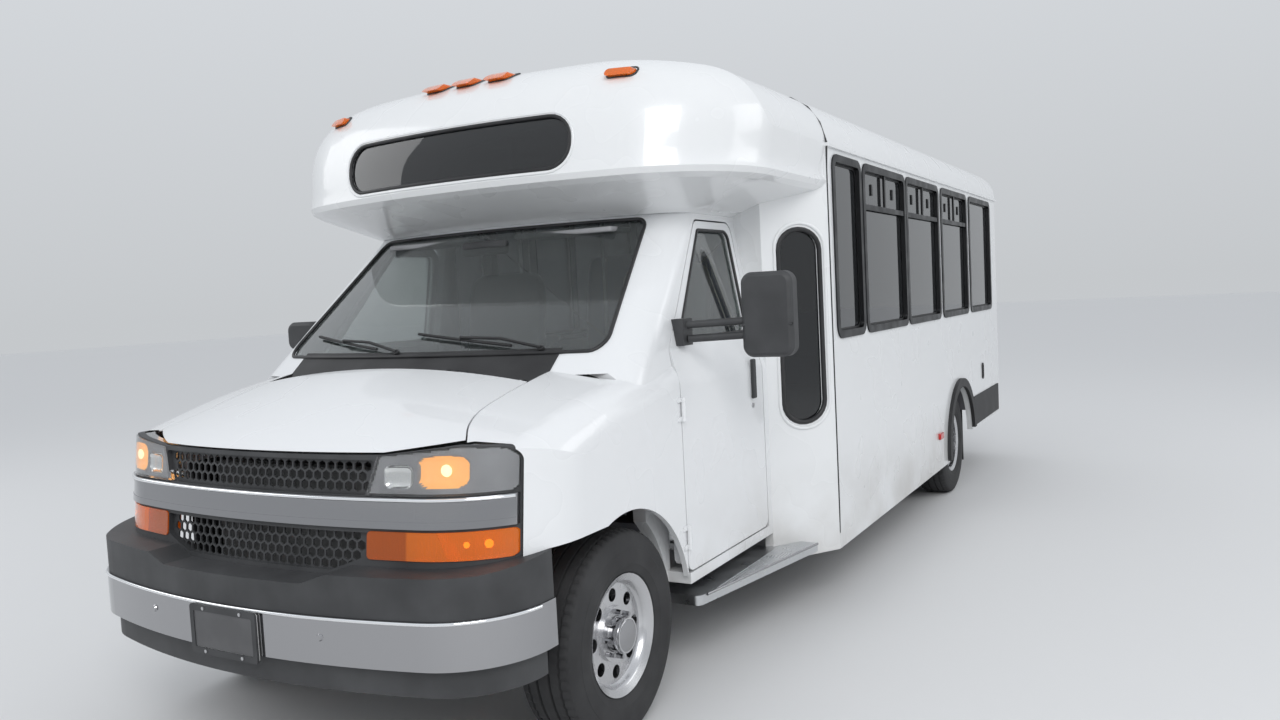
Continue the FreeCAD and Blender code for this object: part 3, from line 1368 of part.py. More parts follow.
def build_rear_door():
    half = rear_door_width / 2 - leaf_gap
    leaf = box(-half, half, y_body_end - wall, y_body_end, rear_door_bottom_z + leaf_gap,
               rear_door_top_z - leaf_gap)
    for bottom, top in rear_panes_bottom_top:
        leaf = leaf.cut(rear_door_pane(bottom, top, 0.0, y_body_end - 100.0, y_body_end + 10.0))
    lever_y = y_body_end + lever_out
    lever = rod_z(lever_x, lever_y, 1200.0, 1360.0, lever_radius)
    post = rod((lever_x, y_body_end - 2.0, 1280.0), (lever_x, lever_y, 1280.0), lever_radius)
    barrels = leaf_barrels(rear_axis_x, rear_axis_y_end, (-strap_reach, 0.0), back_face, REAR_HINGES)
    return fused([leaf, lever, post] + barrels)


rear_axis_x = rear_door_width / 2 - leaf_gap / 2
rear_axis_y_end = y_body_end + hinge_out
back_face = (-hinge_out - 1.0, -6.0)
add("rear_door", build_rear_door())
add("rear_door_glass", Part.makeCompound([rear_door_pane(bottom, top, seat_gap, y_body_end - 24.0,
                                                         y_body_end - 18.0)
                                          for bottom, top in rear_panes_bottom_top]))


# Outside fittings

board_bottom_z = 325.0
board_top_z = 365.0
board_rear_station = 2330.0
board_gap = 0.6
stay_z = (490.0, 590.0)
LAMP_ROWS = ((760.0, 900.0), (930.0, 1070.0), (1100.0, 1200.0))


def build_running_board():
    """The left board under the door, widening to meet the slanting panel."""
    panel_slope = (body_half - cab_half) / (seam_station - cab_rear_station)
    inner_end = cab_half + panel_slope * (board_rear_station - cab_rear_station) + board_gap
    board = slab_z([(800.0, at(1400.0)), (cab_half + 6.0, at(1400.0), 30.0), (1175.0, at(board_rear_station)),
                    (inner_end, at(board_rear_station)), (cab_half + board_gap, at(cab_rear_station)),
                    (800.0, at(cab_rear_station))], board_bottom_z, board_top_z)
    pieces = [board]
    for station in (1700.0, 2120.0):
        y0, y1 = at(station), at(station + 60.0)
        pieces.append(box(rail_outer_x + 0.5, 810.0, y0, y1, board_bottom_z + 5.0, board_top_z - 5.0))
        pieces.append(box(rail_outer_x + 0.5, rail_outer_x + 33.0, y0, y1, board_bottom_z + 5.0, 600.0))
    return fused(pieces)


add("running_boards", both_sides(build_running_board()))

rear_bumper = box(-1150.0, 1150.0, y_body_end + 10.0, y_body_end + rear_bumper_depth, 430.0, 600.0)
stay = box(rail_inner_x, rail_outer_x, at(rail_rear_station) + seat_gap, y_body_end + 11.0, *stay_z)
stay_space = box(rail_inner_x - 22.0, rail_outer_x + 22.0, at(7000.0), at(7200.0), stay_z[0] - 20.0,
                 stay_z[1] + 20.0)
add("rear_bumper", fused([rear_bumper, stay, mirrored(stay)]))
rear_lugs = jamb_lugs(rear_axis_x, rear_axis_y_end, (0.0, strap_reach), back_face, REAR_HINGES)
add("rear_wall", fused([rear_wall.cut(stay_space).cut(mirrored(stay_space))] + rear_lugs))

tail = [slab_y(rectangle(930.0, 1070.0, z0, z1, 30.0), y_body_end + seat_gap, y_body_end + 22.0)
        for z0, z1 in LAMP_ROWS]
add("tail_lamps", Part.makeCompound(with_mirrors(tail)))

trim_thickness = 7.0
vent_station = 6275.0
vent_z = 818.0


def build_flare():
    x0, x1 = body_half + seat_gap, body_half + seat_gap + 24.0
    ring = rod_x(x0, x1, y_rear_axle, tyre_radius, rear_arch_radius + flare_width)
    ring = ring.cut(rod_x(x0 - 1.0, x1 + 1.0, y_rear_axle, tyre_radius, rear_arch_radius - 6.0))
    front = box(x0 - 1.0, x1 + 1.0, at(4000.0), y_rear_axle, skirt_z + 20.0, 1200.0)
    back = box(x0 - 1.0, x1 + 1.0, y_rear_axle, at(7000.0), rear_skirt_z + 20.0, 1200.0)
    return ring.common(front.fuse(back)).removeSplitter()


def build_vent():
    """A louvred oval on the left flank behind the wheel."""
    x0 = body_half + seat_gap
    y = at(vent_station)
    points = rectangle(y - 30.0, y + 30.0, vent_z - 65.0, vent_z + 65.0, 28.0)
    plate = slab_x(points, x0, x0 + trim_thickness)
    for i in range(5):
        z = vent_z + (i - 2) * 18.0
        plate = plate.cut(box(x0 + 2.0, x0 + 20.0, y - 18.0, y + 18.0, z - 4.0, z + 4.0))
    return plate


skirt_panel = slab_x(rectangle(at(5870.0), at(6940.0), 425.0, 650.0, 12.0), body_half + seat_gap,
                     body_half + seat_gap + trim_thickness)
flap = box(700.0, 1150.0, y_rear_axle + 386.0, y_rear_axle + 392.0, 170.0, tub_bottom_z - seat_gap)
add("black_trim", Part.makeCompound(with_mirrors([build_flare(), skirt_panel, flap]) + [build_vent()]))


# Inside fittings

SEAT_STATIONS = (("left", (2700.0, 3480.0, 4260.0, 5040.0, 5820.0)),
                 ("right", (3560.0, 4300.0, 5040.0, 5820.0)))
bench_x = 700.0
bench_width = 880.0

# post's x and station
POSTS = ((330.0, 2640.0), (-620.0, 2575.0), (-620.0, 3480.0))


def seat(x_centre, width, station, base_z, seat_z, back_z):
    """A high-backed seat on a pedestal, its front edge at a station."""
    z, y = base_z + seat_gap, at(station)
    profile = [(y, z + seat_z - 110.0, 30.0), (y + 430.0, z + seat_z - 110.0),
               (y + 560.0, z + seat_z - 60.0, 40.0), (y + 640.0, z + back_z, 50.0),
               (y + 520.0, z + back_z, 50.0), (y + 420.0, z + seat_z + 20.0, 30.0), (y, z + seat_z, 40.0)]
    shell = slab_x(profile, x_centre - width / 2, x_centre + width / 2)
    leg = box(x_centre - width / 4, x_centre + width / 4, y + 120.0, y + 400.0, z, z + seat_z - 105.0)
    return fused([shell, leg])


add("cab_seats", both_sides(seat(480.0, 480.0, 1690.0, cab_floor_z, 390.0, 1030.0)))

tub_space = tub_form(tub_inner_x - seat_gap, tub_radius + seat_gap)
benches = []
for side, stations in SEAT_STATIONS:
    for station in stations:
        bench = largest(seat(bench_x, bench_width, station, floor_z, 430.0, 1130.0).cut(tub_space))
        benches.append(bench if side == "left" else mirrored(bench))
add("saloon_seats", Part.makeCompound(benches))

add("grab_rails", Part.makeCompound([rod_z(x, at(station), floor_z + seat_gap,
                                           sunk(roof_z - wall, roof_crown, x) - 2.0, 16.0)
                                     for x, station in POSTS]))

steering_x = 430.0
steering_radius = 190.0
steering_grip = 15.0


def build_dash():
    dash = slab_x([(at(1150.0) + seat_gap, 860.0), (at(1300.0), 860.0, 30.0), (at(1450.0), 960.0, 40.0),
                   (at(1440.0), 1180.0, 60.0), (at(1300.0), 1262.0, 60.0), (at(1150.0) + seat_gap, 1262.0)],
                  -840.0, 840.0)
    dash = dash.cut(box(-345.0, 345.0, at(1100.0), at(1800.0), 600.0, 960.0 + seat_gap))
    centre = V(steering_x, at(1560.0), 1085.0)
    axis = V(0, 0.86, 0.5)
    pieces = [dash, Part.makeTorus(steering_radius, steering_grip, centre, axis),
              Part.makeCylinder(45.0, 30.0, centre - axis * 30.0, axis),
              Part.makeCylinder(30.0, 260.0, centre - axis * 260.0, axis)]
    facing = FreeCAD.Placement(centre, FreeCAD.Rotation(V(0, 0, 1), axis))
    for angle in (90.0, 210.0, 330.0):
        spoke = Part.makeBox(steering_radius, 30.0, 16.0, V(0, -15.0, -20.0))
        spoke.rotate(V(0, 0, 0), V(0, 0, 1), angle)
        spoke.Placement = facing.multiply(spoke.Placement)
        pieces.append(spoke)
    return fused(pieces)


add("dashboard", build_dash())

for name, shape in parts.items():
    print(name, len(shape.Solids), round(shape.Volume / 1e6, 2), shape.isValid())
    shape.exportStep("parts/" + name + ".step")
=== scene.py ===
"""The looks of a white minibus, made round its packed construction.

Metres; X across (the vehicle's left is +X), Y along (the front is -Y), Z up, the ground at 0.
A station is a distance behind the foremost face of the front plate.
"""
import json
import math

import bmesh
import bpy
from mathutils import Matrix, Vector
from mathutils.bvhtree import BVHTree


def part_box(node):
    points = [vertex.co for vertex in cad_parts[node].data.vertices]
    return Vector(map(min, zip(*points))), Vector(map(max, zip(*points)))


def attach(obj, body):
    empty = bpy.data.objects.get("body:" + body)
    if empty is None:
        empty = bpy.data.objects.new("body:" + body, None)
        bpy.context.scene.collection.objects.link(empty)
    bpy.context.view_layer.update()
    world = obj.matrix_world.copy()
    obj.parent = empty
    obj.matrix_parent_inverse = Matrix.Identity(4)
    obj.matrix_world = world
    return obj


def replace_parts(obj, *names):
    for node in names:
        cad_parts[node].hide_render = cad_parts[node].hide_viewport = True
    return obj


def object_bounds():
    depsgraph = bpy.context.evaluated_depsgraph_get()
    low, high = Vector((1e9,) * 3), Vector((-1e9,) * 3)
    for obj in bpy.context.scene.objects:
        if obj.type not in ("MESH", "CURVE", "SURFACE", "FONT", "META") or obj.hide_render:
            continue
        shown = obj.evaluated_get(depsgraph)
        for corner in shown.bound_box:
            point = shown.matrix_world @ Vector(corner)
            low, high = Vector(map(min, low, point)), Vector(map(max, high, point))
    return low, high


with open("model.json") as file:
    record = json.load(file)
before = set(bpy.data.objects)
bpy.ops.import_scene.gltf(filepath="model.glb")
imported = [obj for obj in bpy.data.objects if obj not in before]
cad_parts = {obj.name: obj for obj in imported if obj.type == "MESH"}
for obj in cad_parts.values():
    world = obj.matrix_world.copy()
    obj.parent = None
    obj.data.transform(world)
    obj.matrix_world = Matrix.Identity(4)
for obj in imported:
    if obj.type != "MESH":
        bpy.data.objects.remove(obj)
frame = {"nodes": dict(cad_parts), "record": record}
cad_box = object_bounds()
nodes = frame["nodes"]
scene = bpy.context.scene

# Sizes that the construction has too
front_y = cad_box[0][1]
front_axle_station = 0.893
rear_axle_station = 5.389
tyre_radius = 0.3715
wheel_x = 0.8675
rear_wheel_x = 0.925
dual_half = 0.128
body_half = 1.219
cab_half = 1.006
seam_station = 2.528
body_end_station = 7.099
floor_z = 0.740
cab_floor_z = 0.690
window_sill_z = 1.329
window_top_z = 2.177
entry_station = 2.600
entry_width = 0.840
board_top_z = 0.365
mirror_station = 1.470
mirror_depth = 0.062

# (first station, last station, has a sliding upper part) of each side window
LEFT_WINDOWS = ((2.627, 3.049, False), (3.121, 3.942, True), (3.999, 4.821, True), (4.929, 5.759, True),
                (5.880, 6.720, False))
RIGHT_WINDOWS = ((3.515, 3.942, False),) + LEFT_WINDOWS[2:]

SIDES = ((1, "left"), (-1, "right"))
DOWNWARDS = (0, 0, -1)


def at(station):
    """The Y of a station."""
    return front_y + station


# Shader helpers

class Shader:
    """A material's node tree with short ways to add what it needs."""

    def __init__(self, name, colour, roughness, metallic=0.0, **sockets):
        self.material = bpy.data.materials.new(name)
        self.material.use_nodes = True
        self.tree = self.material.node_tree
        self.principled = self.tree.nodes["Principled BSDF"]
        self.set("Base Color", (*colour, 1.0))
        self.set("Roughness", roughness)
        self.set("Metallic", metallic)
        for socket, value in sockets.items():
            self.set(socket.replace("_", " "), value)
        self.place = self.add("ShaderNodeTexCoord").outputs["Object"]

    def set(self, socket, value):
        """Set a socket of the principled shader."""
        self.principled.inputs[socket].default_value = value

    def add(self, kind, **values):
        """Add a node with its settings."""
        node = self.tree.nodes.new(kind)
        for name, value in values.items():
            setattr(node, name, value)
        return node

    def link(self, output, target):
        """Join a node's output to a socket."""
        self.tree.links.new(output, target)
        return self

    def noise(self, scale, detail=3.0, stretch=(1.0, 1.0, 1.0)):
        """Noise in the object's own coordinates, which are the frame's metres."""
        mapping = self.add("ShaderNodeMapping")
        mapping.inputs["Scale"].default_value = stretch
        self.link(self.place, mapping.inputs["Vector"])
        node = self.add("ShaderNodeTexNoise")
        node.inputs["Scale"].default_value = scale
        node.inputs["Detail"].default_value = detail
        self.link(mapping.outputs["Vector"], node.inputs["Vector"])
        return node.outputs["Fac"]

    def ranged(self, value, low, high, start=0.0, end=1.0):
        """A value brought from start..end to low..high, held at both ends."""
        node = self.add("ShaderNodeMapRange")
        for socket, number in (("From Min", start), ("From Max", end), ("To Min", low), ("To Max", high)):
            node.inputs[socket].default_value = number
        self.link(value, node.inputs["Value"])
        return node.outputs["Result"]

    def mix(self, factor, first, second):
        """A blend of two colours."""
        node = self.add("ShaderNodeMix", data_type="RGBA")
        self.link(factor, node.inputs["Factor"])
        node.inputs[6].default_value = (*first, 1.0)
        node.inputs[7].default_value = (*second, 1.0)
        return node.outputs[2]

    def vary_colour(self, factor, first, second):
        """Let the colour go from the first to the second by a factor."""
        self.link(self.mix(factor, first, second), self.principled.inputs["Base Color"])
        return self

    def vary_roughness(self, scale, low, high):
        """Let the roughness go from low to high by noise."""
        self.link(self.ranged(self.noise(scale), low, high, 0.3, 0.7), self.principled.inputs["Roughness"])
        return self

    def bump(self, height, strength, distance):
        """Relief from a height, on top of the relief that is there."""
        node = self.add("ShaderNodeBump")
        node.inputs["Strength"].default_value = strength
        node.inputs["Distance"].default_value = distance
        self.link(height, node.inputs["Height"])
        previous = self.principled.inputs["Normal"]
        if previous.is_linked:
            self.link(previous.links[0].from_socket, node.inputs["Normal"])
        self.link(node.outputs["Normal"], previous)
        return self


def low_dirt(shader, clean, dirty):
    """Road film that thickens towards the ground."""
    thickest_z, highest_z = 0.25, 0.75
    split = shader.add("ShaderNodeSeparateXYZ")
    shader.link(shader.place, split.inputs["Vector"])
    height = shader.ranged(split.outputs["Z"], 1.0, 0.0, thickest_z, highest_z)
    patch = shader.ranged(shader.noise(3.0, 6.0), 0.0, 1.0, 0.35, 0.75)
    product = shader.add("ShaderNodeMath", operation="MULTIPLY")
    shader.link(height, product.inputs[0])
    shader.link(patch, product.inputs[1])
    shader.vary_colour(product.outputs["Value"], clean, dirty)


def paint(name, colour, dirty):
    """Clear-coated white with road film low down."""
    shader = Shader(name, colour, 0.28, Coat_Weight=0.6, Coat_Roughness=0.05)
    low_dirt(shader, colour, dirty)
    shader.link(shader.ranged(shader.noise(2.5, 2.0), 0.22, 0.34), shader.principled.inputs["Roughness"])
    return shader.material


def moulding(name, colour, roughness=0.55, grain=900.0, strength=0.25):
    """Plastic or rubber with a fine grain and faded patches."""
    shader = Shader(name, colour, roughness)
    lighter = tuple(min(1.0, c * 1.35 + 0.01) for c in colour)
    shader.vary_colour(shader.ranged(shader.noise(6.0, 5.0), 0.0, 1.0, 0.35, 0.7), colour, lighter)
    shader.bump(shader.noise(grain, 2.0), strength, 0.0006)
    return shader.material


def metal(name, colour, roughness, brush=None):
    """Metal with smeared gloss, brushed along the axis that `brush` stretches least."""
    shader = Shader(name, colour, roughness, 1.0)
    shader.vary_roughness(9.0, roughness * 0.8, roughness * 1.3 + 0.02)
    if brush:
        shader.bump(shader.noise(120.0, 3.0, brush), 0.1, 0.0004)
    return shader.material


def glass(name, colour, transmission):
    """Slightly uneven sheet glass."""
    shader = Shader(name, colour, 0.02, IOR=1.45, Transmission_Weight=transmission, Coat_Weight=0.5)
    shader.bump(shader.noise(1.7, 1.0), 0.02, 0.002)
    return shader.material


def lens(name, colour, glow, transmission, ribs=60.0, strength=0.3):
    """A lamp's ribbed cover."""
    shader = Shader(name, colour, 0.08, IOR=1.12, Coat_Weight=1.0, Coat_Roughness=0.03,
                    Transmission_Weight=transmission)
    wave = shader.add("ShaderNodeTexWave", bands_direction="X")
    wave.inputs["Scale"].default_value = ribs
    shader.link(shader.place, wave.inputs["Vector"])
    shader.bump(wave.outputs["Fac"], strength, 0.001)
    shader.set("Emission Color", (*colour, 1.0))
    shader.set("Emission Strength", glow)
    return shader


def amber_lens():
    """Amber covers with painted shade: darker near the grille, where no bulb is behind them."""
    lit, unlit_shade = (0.80, 0.19, 0.012), (0.42, 0.085, 0.008)
    split_x, highest_z = 0.630, 1.15
    shader = lens("amber_lens", lit, 0.10, 0.45)
    split = shader.add("ShaderNodeSeparateXYZ")
    shader.link(shader.place, split.inputs["Vector"])
    across = shader.add("ShaderNodeMath", operation="ABSOLUTE")
    shader.link(split.outputs["X"], across.inputs[0])
    outer = shader.ranged(across.outputs["Value"], 0.0, 1.0, split_x - 0.004, split_x + 0.004)
    low = shader.ranged(split.outputs["Z"], 0.0, 1.0, highest_z + 0.05, highest_z - 0.05)
    # the inner part, where no bulb is, takes the painted shade colour
    inner = shader.add("ShaderNodeMath", operation="SUBTRACT", use_clamp=True)
    shader.link(low, inner.inputs[0])
    shader.link(outer, inner.inputs[1])
    shader.vary_colour(inner.outputs["Value"], lit, unlit_shade)
    return shader


def fabric(name, colour):
    """Woven cloth with a soft sheen."""
    shader = Shader(name, colour, 0.9, Sheen_Weight=0.4)
    darker = tuple(c * 0.6 for c in colour)
    weave = shader.noise(700.0, 2.0, (1.0, 1.0, 0.4))
    shader.vary_colour(shader.ranged(weave, 0.0, 1.0, 0.35, 0.65), darker, colour)
    shader.bump(weave, 0.5, 0.0008)
    return shader.material


def glowing(name, colour, strength):
    """A lit bulb or the reflector behind it."""
    shader = Shader(name, colour, 0.4)
    paler, darker = tuple(c * 0.5 for c in colour), tuple(c * 0.3 for c in colour)
    shader.vary_colour(shader.noise(30.0), paler, darker)
    shader.set("Emission Color", (*colour, 1.0))
    shader.set("Emission Strength", strength)
    return shader.material


WHITE = (0.78, 0.79, 0.80)
ROAD_FILM = (0.45, 0.43, 0.40)

# the record's material slots
materials = {
    "body_paint": paint("body_paint", WHITE, ROAD_FILM),
    "gelcoat": paint("gelcoat", (0.79, 0.80, 0.805), ROAD_FILM),
    "dark_plastic": moulding("dark_plastic", (0.035, 0.036, 0.038)),
    "black_rubber": moulding("black_rubber", (0.016, 0.016, 0.017), 0.6, 500.0),
    # chrome's base colour is set darker than chrome's own: a painted reflection of dark ground
    "chrome_trim": metal("chrome_trim", (0.40, 0.40, 0.41), 0.05),
    "clear_lens": lens("clear_lens", (0.90, 0.91, 0.92), 0.0, 0.96, ribs=22.0, strength=0.05).material,
    "amber_lens": amber_lens().material,
    "red_lens": lens("red_lens", (0.55, 0.02, 0.02), 0.05, 0.3).material,
    "tinted_glass": glass("tinted_glass", (0.055, 0.06, 0.065), 0.85),
    "clear_glass": glass("clear_glass", (0.50, 0.54, 0.53), 0.96),
    "frame_steel": moulding("frame_steel", (0.018, 0.018, 0.02), 0.5, 300.0),
    "cast_parts": moulding("cast_parts", (0.10, 0.10, 0.10), 0.7, 200.0, 0.5),
    "window_metal": metal("window_metal", (0.045, 0.046, 0.048), 0.35, (1.0, 1.0, 30.0)),
    "step_metal": metal("step_metal", (0.62, 0.63, 0.64), 0.3, (1.0, 30.0, 1.0)),
    "tyre_rubber": moulding("tyre_rubber", (0.022, 0.022, 0.023), 0.8, 400.0, 0.4),
    "wheel_metal": metal("wheel_metal", (0.62, 0.62, 0.63), 0.22, (1.0, 8.0, 8.0)),
    "floor_covering": moulding("floor_covering", (0.10, 0.10, 0.11), 0.8, 300.0),
    "blue_fabric": fabric("blue_fabric", (0.03, 0.06, 0.22)),
    "grey_fabric": fabric("grey_fabric", (0.16, 0.165, 0.18)),
    "rail_metal": metal("rail_metal", (0.65, 0.66, 0.67), 0.2),
    "dash_plastic": moulding("dash_plastic", (0.11, 0.11, 0.12), 0.7),
    "plate_metal": moulding("plate_metal", (0.62, 0.62, 0.61), 0.4, 100.0, 0.05),
}
# finishes of small pieces that only the scene has
extra = {
    "seal": moulding("seal", (0.012, 0.012, 0.013), 0.45, 300.0, 0.1),
    "reflector": metal("reflector", (0.80, 0.80, 0.78), 0.12),
    "lamp_bezel": moulding("lamp_bezel", (0.22, 0.22, 0.225), 0.35, 200.0, 0.05),
    "mirror_silver": metal("mirror_silver", (0.85, 0.86, 0.87), 0.02),
    "screw": metal("screw", (0.55, 0.55, 0.56), 0.3),
    "lining": moulding("lining", (0.30, 0.30, 0.31), 0.8, 300.0, 0.15),
    # a bright metal copy of the chrome that paints the highlight along the chrome's upper edges
    "painted_highlight_edge": metal("painted_highlight_edge", (0.93, 0.94, 0.95), 0.06),
    "plate_grey": moulding("plate_grey", (0.075, 0.075, 0.078), 0.35, 200.0, 0.05),
    "bulb": glowing("bulb", (1.0, 0.72, 0.40), 1.6),
    # the reflector's glow is painted light from the bulb, not a lamp of its own
    "lit_reflector": glowing("lit_reflector", (1.0, 0.47, 0.15), 0.75),
    "amber_bulb": glowing("amber_bulb", (1.0, 0.42, 0.08), 3.0),
}

slot_of = {part["node"]: part["material_slot"] for part in frame["record"]["subparts"]}
for name, node in nodes.items():
    node.data.materials.clear()
    node.data.materials.append(materials[slot_of[name]])


# Mesh helpers

def add_piece(name, mesh, material, body, smooth=False):
    """The piece of a finished mesh, with its material and the body that it rides on."""
    if smooth:
        mesh.polygons.foreach_set("use_smooth", [True] * len(mesh.polygons))
    piece = bpy.data.objects.new(name, mesh)
    scene.collection.objects.link(piece)
    piece.data.materials.append(materials.get(material) or extra[material])
    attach(piece, body)
    return piece


def mesh_piece(name, vertices, faces, material, body="coach_body"):
    """A smooth piece from lists of points and faces."""
    mesh = bpy.data.meshes.new(name)
    mesh.from_pydata([tuple(v) for v in vertices], [], faces)
    mesh.validate()
    return add_piece(name, mesh, material, body, True)


def built(name, mesh, material, body="coach_body", smooth=False, bevel=0.0, segments=2):
    """A piece from a bmesh, its edges rounded by `bevel`."""
    if bevel:
        bmesh.ops.bevel(mesh, geom=mesh.edges[:], offset=bevel, segments=segments, affect="EDGES",
                        profile=0.5)
    data = bpy.data.meshes.new(name)
    bmesh.ops.recalc_face_normals(mesh, faces=mesh.faces[:])
    mesh.to_mesh(data)
    mesh.free()
    return add_piece(name, data, material, body, smooth)


def add_box(mesh, low, high):
    """A box from its low to its high corner."""
    size = Vector(high) - Vector(low)
    middle = (Vector(high) + Vector(low)) / 2
    matrix = Matrix.Translation(middle) @ Matrix.Diagonal((*size, 1.0))
    bmesh.ops.create_cube(mesh, size=1.0, matrix=matrix)


def add_cylinder(mesh, place, axis, radius, height, sides=24, tip=None):
    """A cylinder or cone that stands on `place` along `axis`."""
    turn = Vector(axis).to_track_quat("Z", "Y").to_matrix().to_4x4()
    matrix = Matrix.Translation(Vector(place) + Vector(axis).normalized() * (height / 2)) @ turn
    bmesh.ops.create_cone(mesh, cap_ends=True, segments=sides, radius1=radius,
                          radius2=radius if tip is None else tip, depth=height, matrix=matrix)


def boxes(name, pairs, material, body="coach_body", bevel=0.0):
    """A piece of boxes, each from its low to its high corner."""
    mesh = bmesh.new()
    for low, high in pairs:
        add_box(mesh, low, high)
    return built(name, mesh, material, body, bevel=bevel)


def studs(name, places, radius, height, material, body="coach_body", sides=12, tip=None):
    """Heads of screws or nuts, each at (place, normal), their feet sunk into what carries them."""
    sunk = 0.001
    mesh = bmesh.new()
    for place, normal in places:
        foot = Vector(place) - Vector(normal) * sunk
        add_cylinder(mesh, foot, normal, radius, height + sunk, sides, tip)
    return built(name, mesh, material, body)


def bead(name, points, radius, material, body="coach_body", closed=True):
    """A round cord of rubber or trim through points, made as a mesh."""
    curve = bpy.data.curves.new(name, "CURVE")
    curve.dimensions = "3D"
    curve.bevel_depth = radius
    curve.bevel_resolution = 2
    spline = curve.splines.new("POLY")
    spline.points.add(len(points) - 1)
    for point, place in zip(spline.points, points):
        point.co = (*place, 1.0)
    spline.use_cyclic_u = closed
    helper = bpy.data.objects.new(name + "_path", curve)
    scene.collection.objects.link(helper)
    data = bpy.data.meshes.new_from_object(helper.evaluated_get(bpy.context.evaluated_depsgraph_get()))
    bpy.data.objects.remove(helper)
    data.name = name
    data.materials.clear()
    return add_piece(name, data, material, body)


def turned(name, profile, centre, material, body, outward, steps=96):
    """A piece turned about X from (offset along X, radius) points."""
    vertices, faces = [], []
    count = len(profile)
    for i in range(steps):
        angle = 2 * math.pi * i / steps
        for u, r in profile:
            vertices.append((centre[0] + outward * u, centre[1] + r * math.cos(angle),
                             centre[2] + r * math.sin(angle)))
    for i in range(steps):
        j = (i + 1) % steps
        for k in range(count - 1):
            quad = (i * count + k, i * count + k + 1, j * count + k + 1, j * count + k)
            faces.append(quad if outward > 0 else quad[::-1])
    return mesh_piece(name, vertices, faces, material, body)


def surface(*names):
    """A tree of the construction's surfaces to drop points on."""
    vertices, faces = [], []
    for name in names:
        node = nodes[name]
        start = len(vertices)
        vertices += [node.matrix_world @ vertex.co for vertex in node.data.vertices]
        faces += [tuple(start + v for v in polygon.vertices) for polygon in node.data.polygons]
    return BVHTree.FromPolygons(vertices, faces)


def dropped(tree, start, direction):
    """The first point and normal that a ray meets, the normal facing the ray."""
    place, normal, _, _ = tree.ray_cast(Vector(start), Vector(direction))
    if place is None:
        return None
    return place, normal if normal.dot(Vector(direction)) < 0 else -normal


def rounded(corners, steps=6):
    """Points round a closed outline of (u, v, radius) corners."""
    points = []
    count = len(corners)
    for i, (u, v, radius) in enumerate(corners):
        here = Vector((u, v))
        before = (Vector(corners[i - 1][:2]) - here).normalized()
        after = (Vector(corners[(i + 1) % count][:2]) - here).normalized()
        half = before.angle(after) / 2
        reach = radius / math.tan(half)
        start, end = here + before * reach, here + after * reach
        centre = here + (before + after).normalized() * (radius / math.sin(half))
        first, last = start - centre, end - centre
        turn = first.angle_signed(last)
        for k in range(steps + 1):
            angle = -turn * k / steps
            c, s = math.cos(angle), math.sin(angle)
            points.append(centre + Vector((first.x * c - first.y * s, first.x * s + first.y * c)))
    return points


def flat_loop(corners, y, side=1):
    """An outline in (x, z), in the upright plane at y, on one side."""
    return [Vector((side * p.x, y, p.y)) for p in rounded(corners)]


def filled(points, gap=0.04):
    """Points of an outline with its long stretches divided."""
    result = []
    for a, b in zip(points, points[1:] + points[:1]):
        parts = max(1, int((b - a).length / gap))
        result += [a + (b - a) * k / parts for k in range(parts)]
    return result


def rectangle(u0, u1, v0, v1, radius):
    """The (u, v, radius) corners of a rounded rectangle."""
    return [(u0, v0, radius), (u1, v0, radius), (u1, v1, radius), (u0, v1, radius)]


def from_front(tree, x, z):
    """What a ray from the front meets."""
    return dropped(tree, (x, front_y - 1.0, z), (0, 1, 0))


def from_side(tree, side, y, z, start_x=2.0):
    """What a ray from one side meets."""
    return dropped(tree, (side * start_x, y, z), (-side, 0, 0))


def front_loop(tree, corners, lift):
    """An outline in (x, z), laid on a surface as seen from the front."""
    points = []
    for p in filled(rounded(corners)):
        hit = from_front(tree, p.x, p.y)
        if hit:
            points.append(hit[0] + hit[1] * lift)
    return points


def side_loop(tree, corners, lift, side):
    """An outline in (station, z), laid on a surface as seen from one side."""
    points = []
    for p in filled(rounded(corners)):
        hit = from_side(tree, side, at(p.x), p.y)
        if hit:
            points.append(hit[0] + hit[1] * lift)
    return points


cap_tree = surface("front_cap")
nose_tree = surface("cab_shell", "windshield", "hood", "front_fenders", "cowl")
lamp_tree = surface("headlamps")
bumper_tree = surface("front_bumper")
door_trees = {1: surface("left_door"), -1: surface("right_door")}
panel_tree = surface("transition_panels")
amber_tree = surface("amber_lamps")
bar_tree = surface("grille_bar")


# Rubber round the glass

WINDSHIELD = ((-0.839, 1.368, 0.05), (0.839, 1.368, 0.05), (0.731, 1.886, 0.05), (-0.731, 1.886, 0.05))
DOOR_GLASS = ((1.429, 1.382, 0.02), (1.799, 1.833, 0.03), (2.103, 1.833, 0.04), (2.103, 1.382, 0.04))


def build_shell_seals():
    """Rubber and raised rims round the glass of the cab, the cap and the panels behind the doors."""
    bead("windshield_seal", front_loop(nose_tree, WINDSHIELD, 0.001), 0.008, "seal")
    window = rectangle(-0.597, 0.597, 2.084, 2.297, 0.098)
    bead("cap_window_seal", front_loop(cap_tree, window, 0.002), 0.0085, "seal")
    rim = rectangle(-0.612, 0.612, 2.069, 2.312, 0.112)
    bead("cap_window_rim", front_loop(cap_tree, rim, -0.001), 0.006, "gelcoat")
    for side, name in SIDES:
        inner = rectangle(2.283, 2.482, 0.929, 1.837, 0.097)
        bead(f"{name}_slot_seal", side_loop(panel_tree, inner, 0.003, side), 0.012, "seal")
        outer = rectangle(2.262, 2.503, 0.900, 1.866, 0.118)
        bead(f"{name}_slot_rim", side_loop(panel_tree, outer, -0.002, side), 0.010, "gelcoat")
        bead(f"{name}_door_seal", side_loop(door_trees[side], DOOR_GLASS, 0.000, side), 0.007, "seal",
             f"{name}_door")


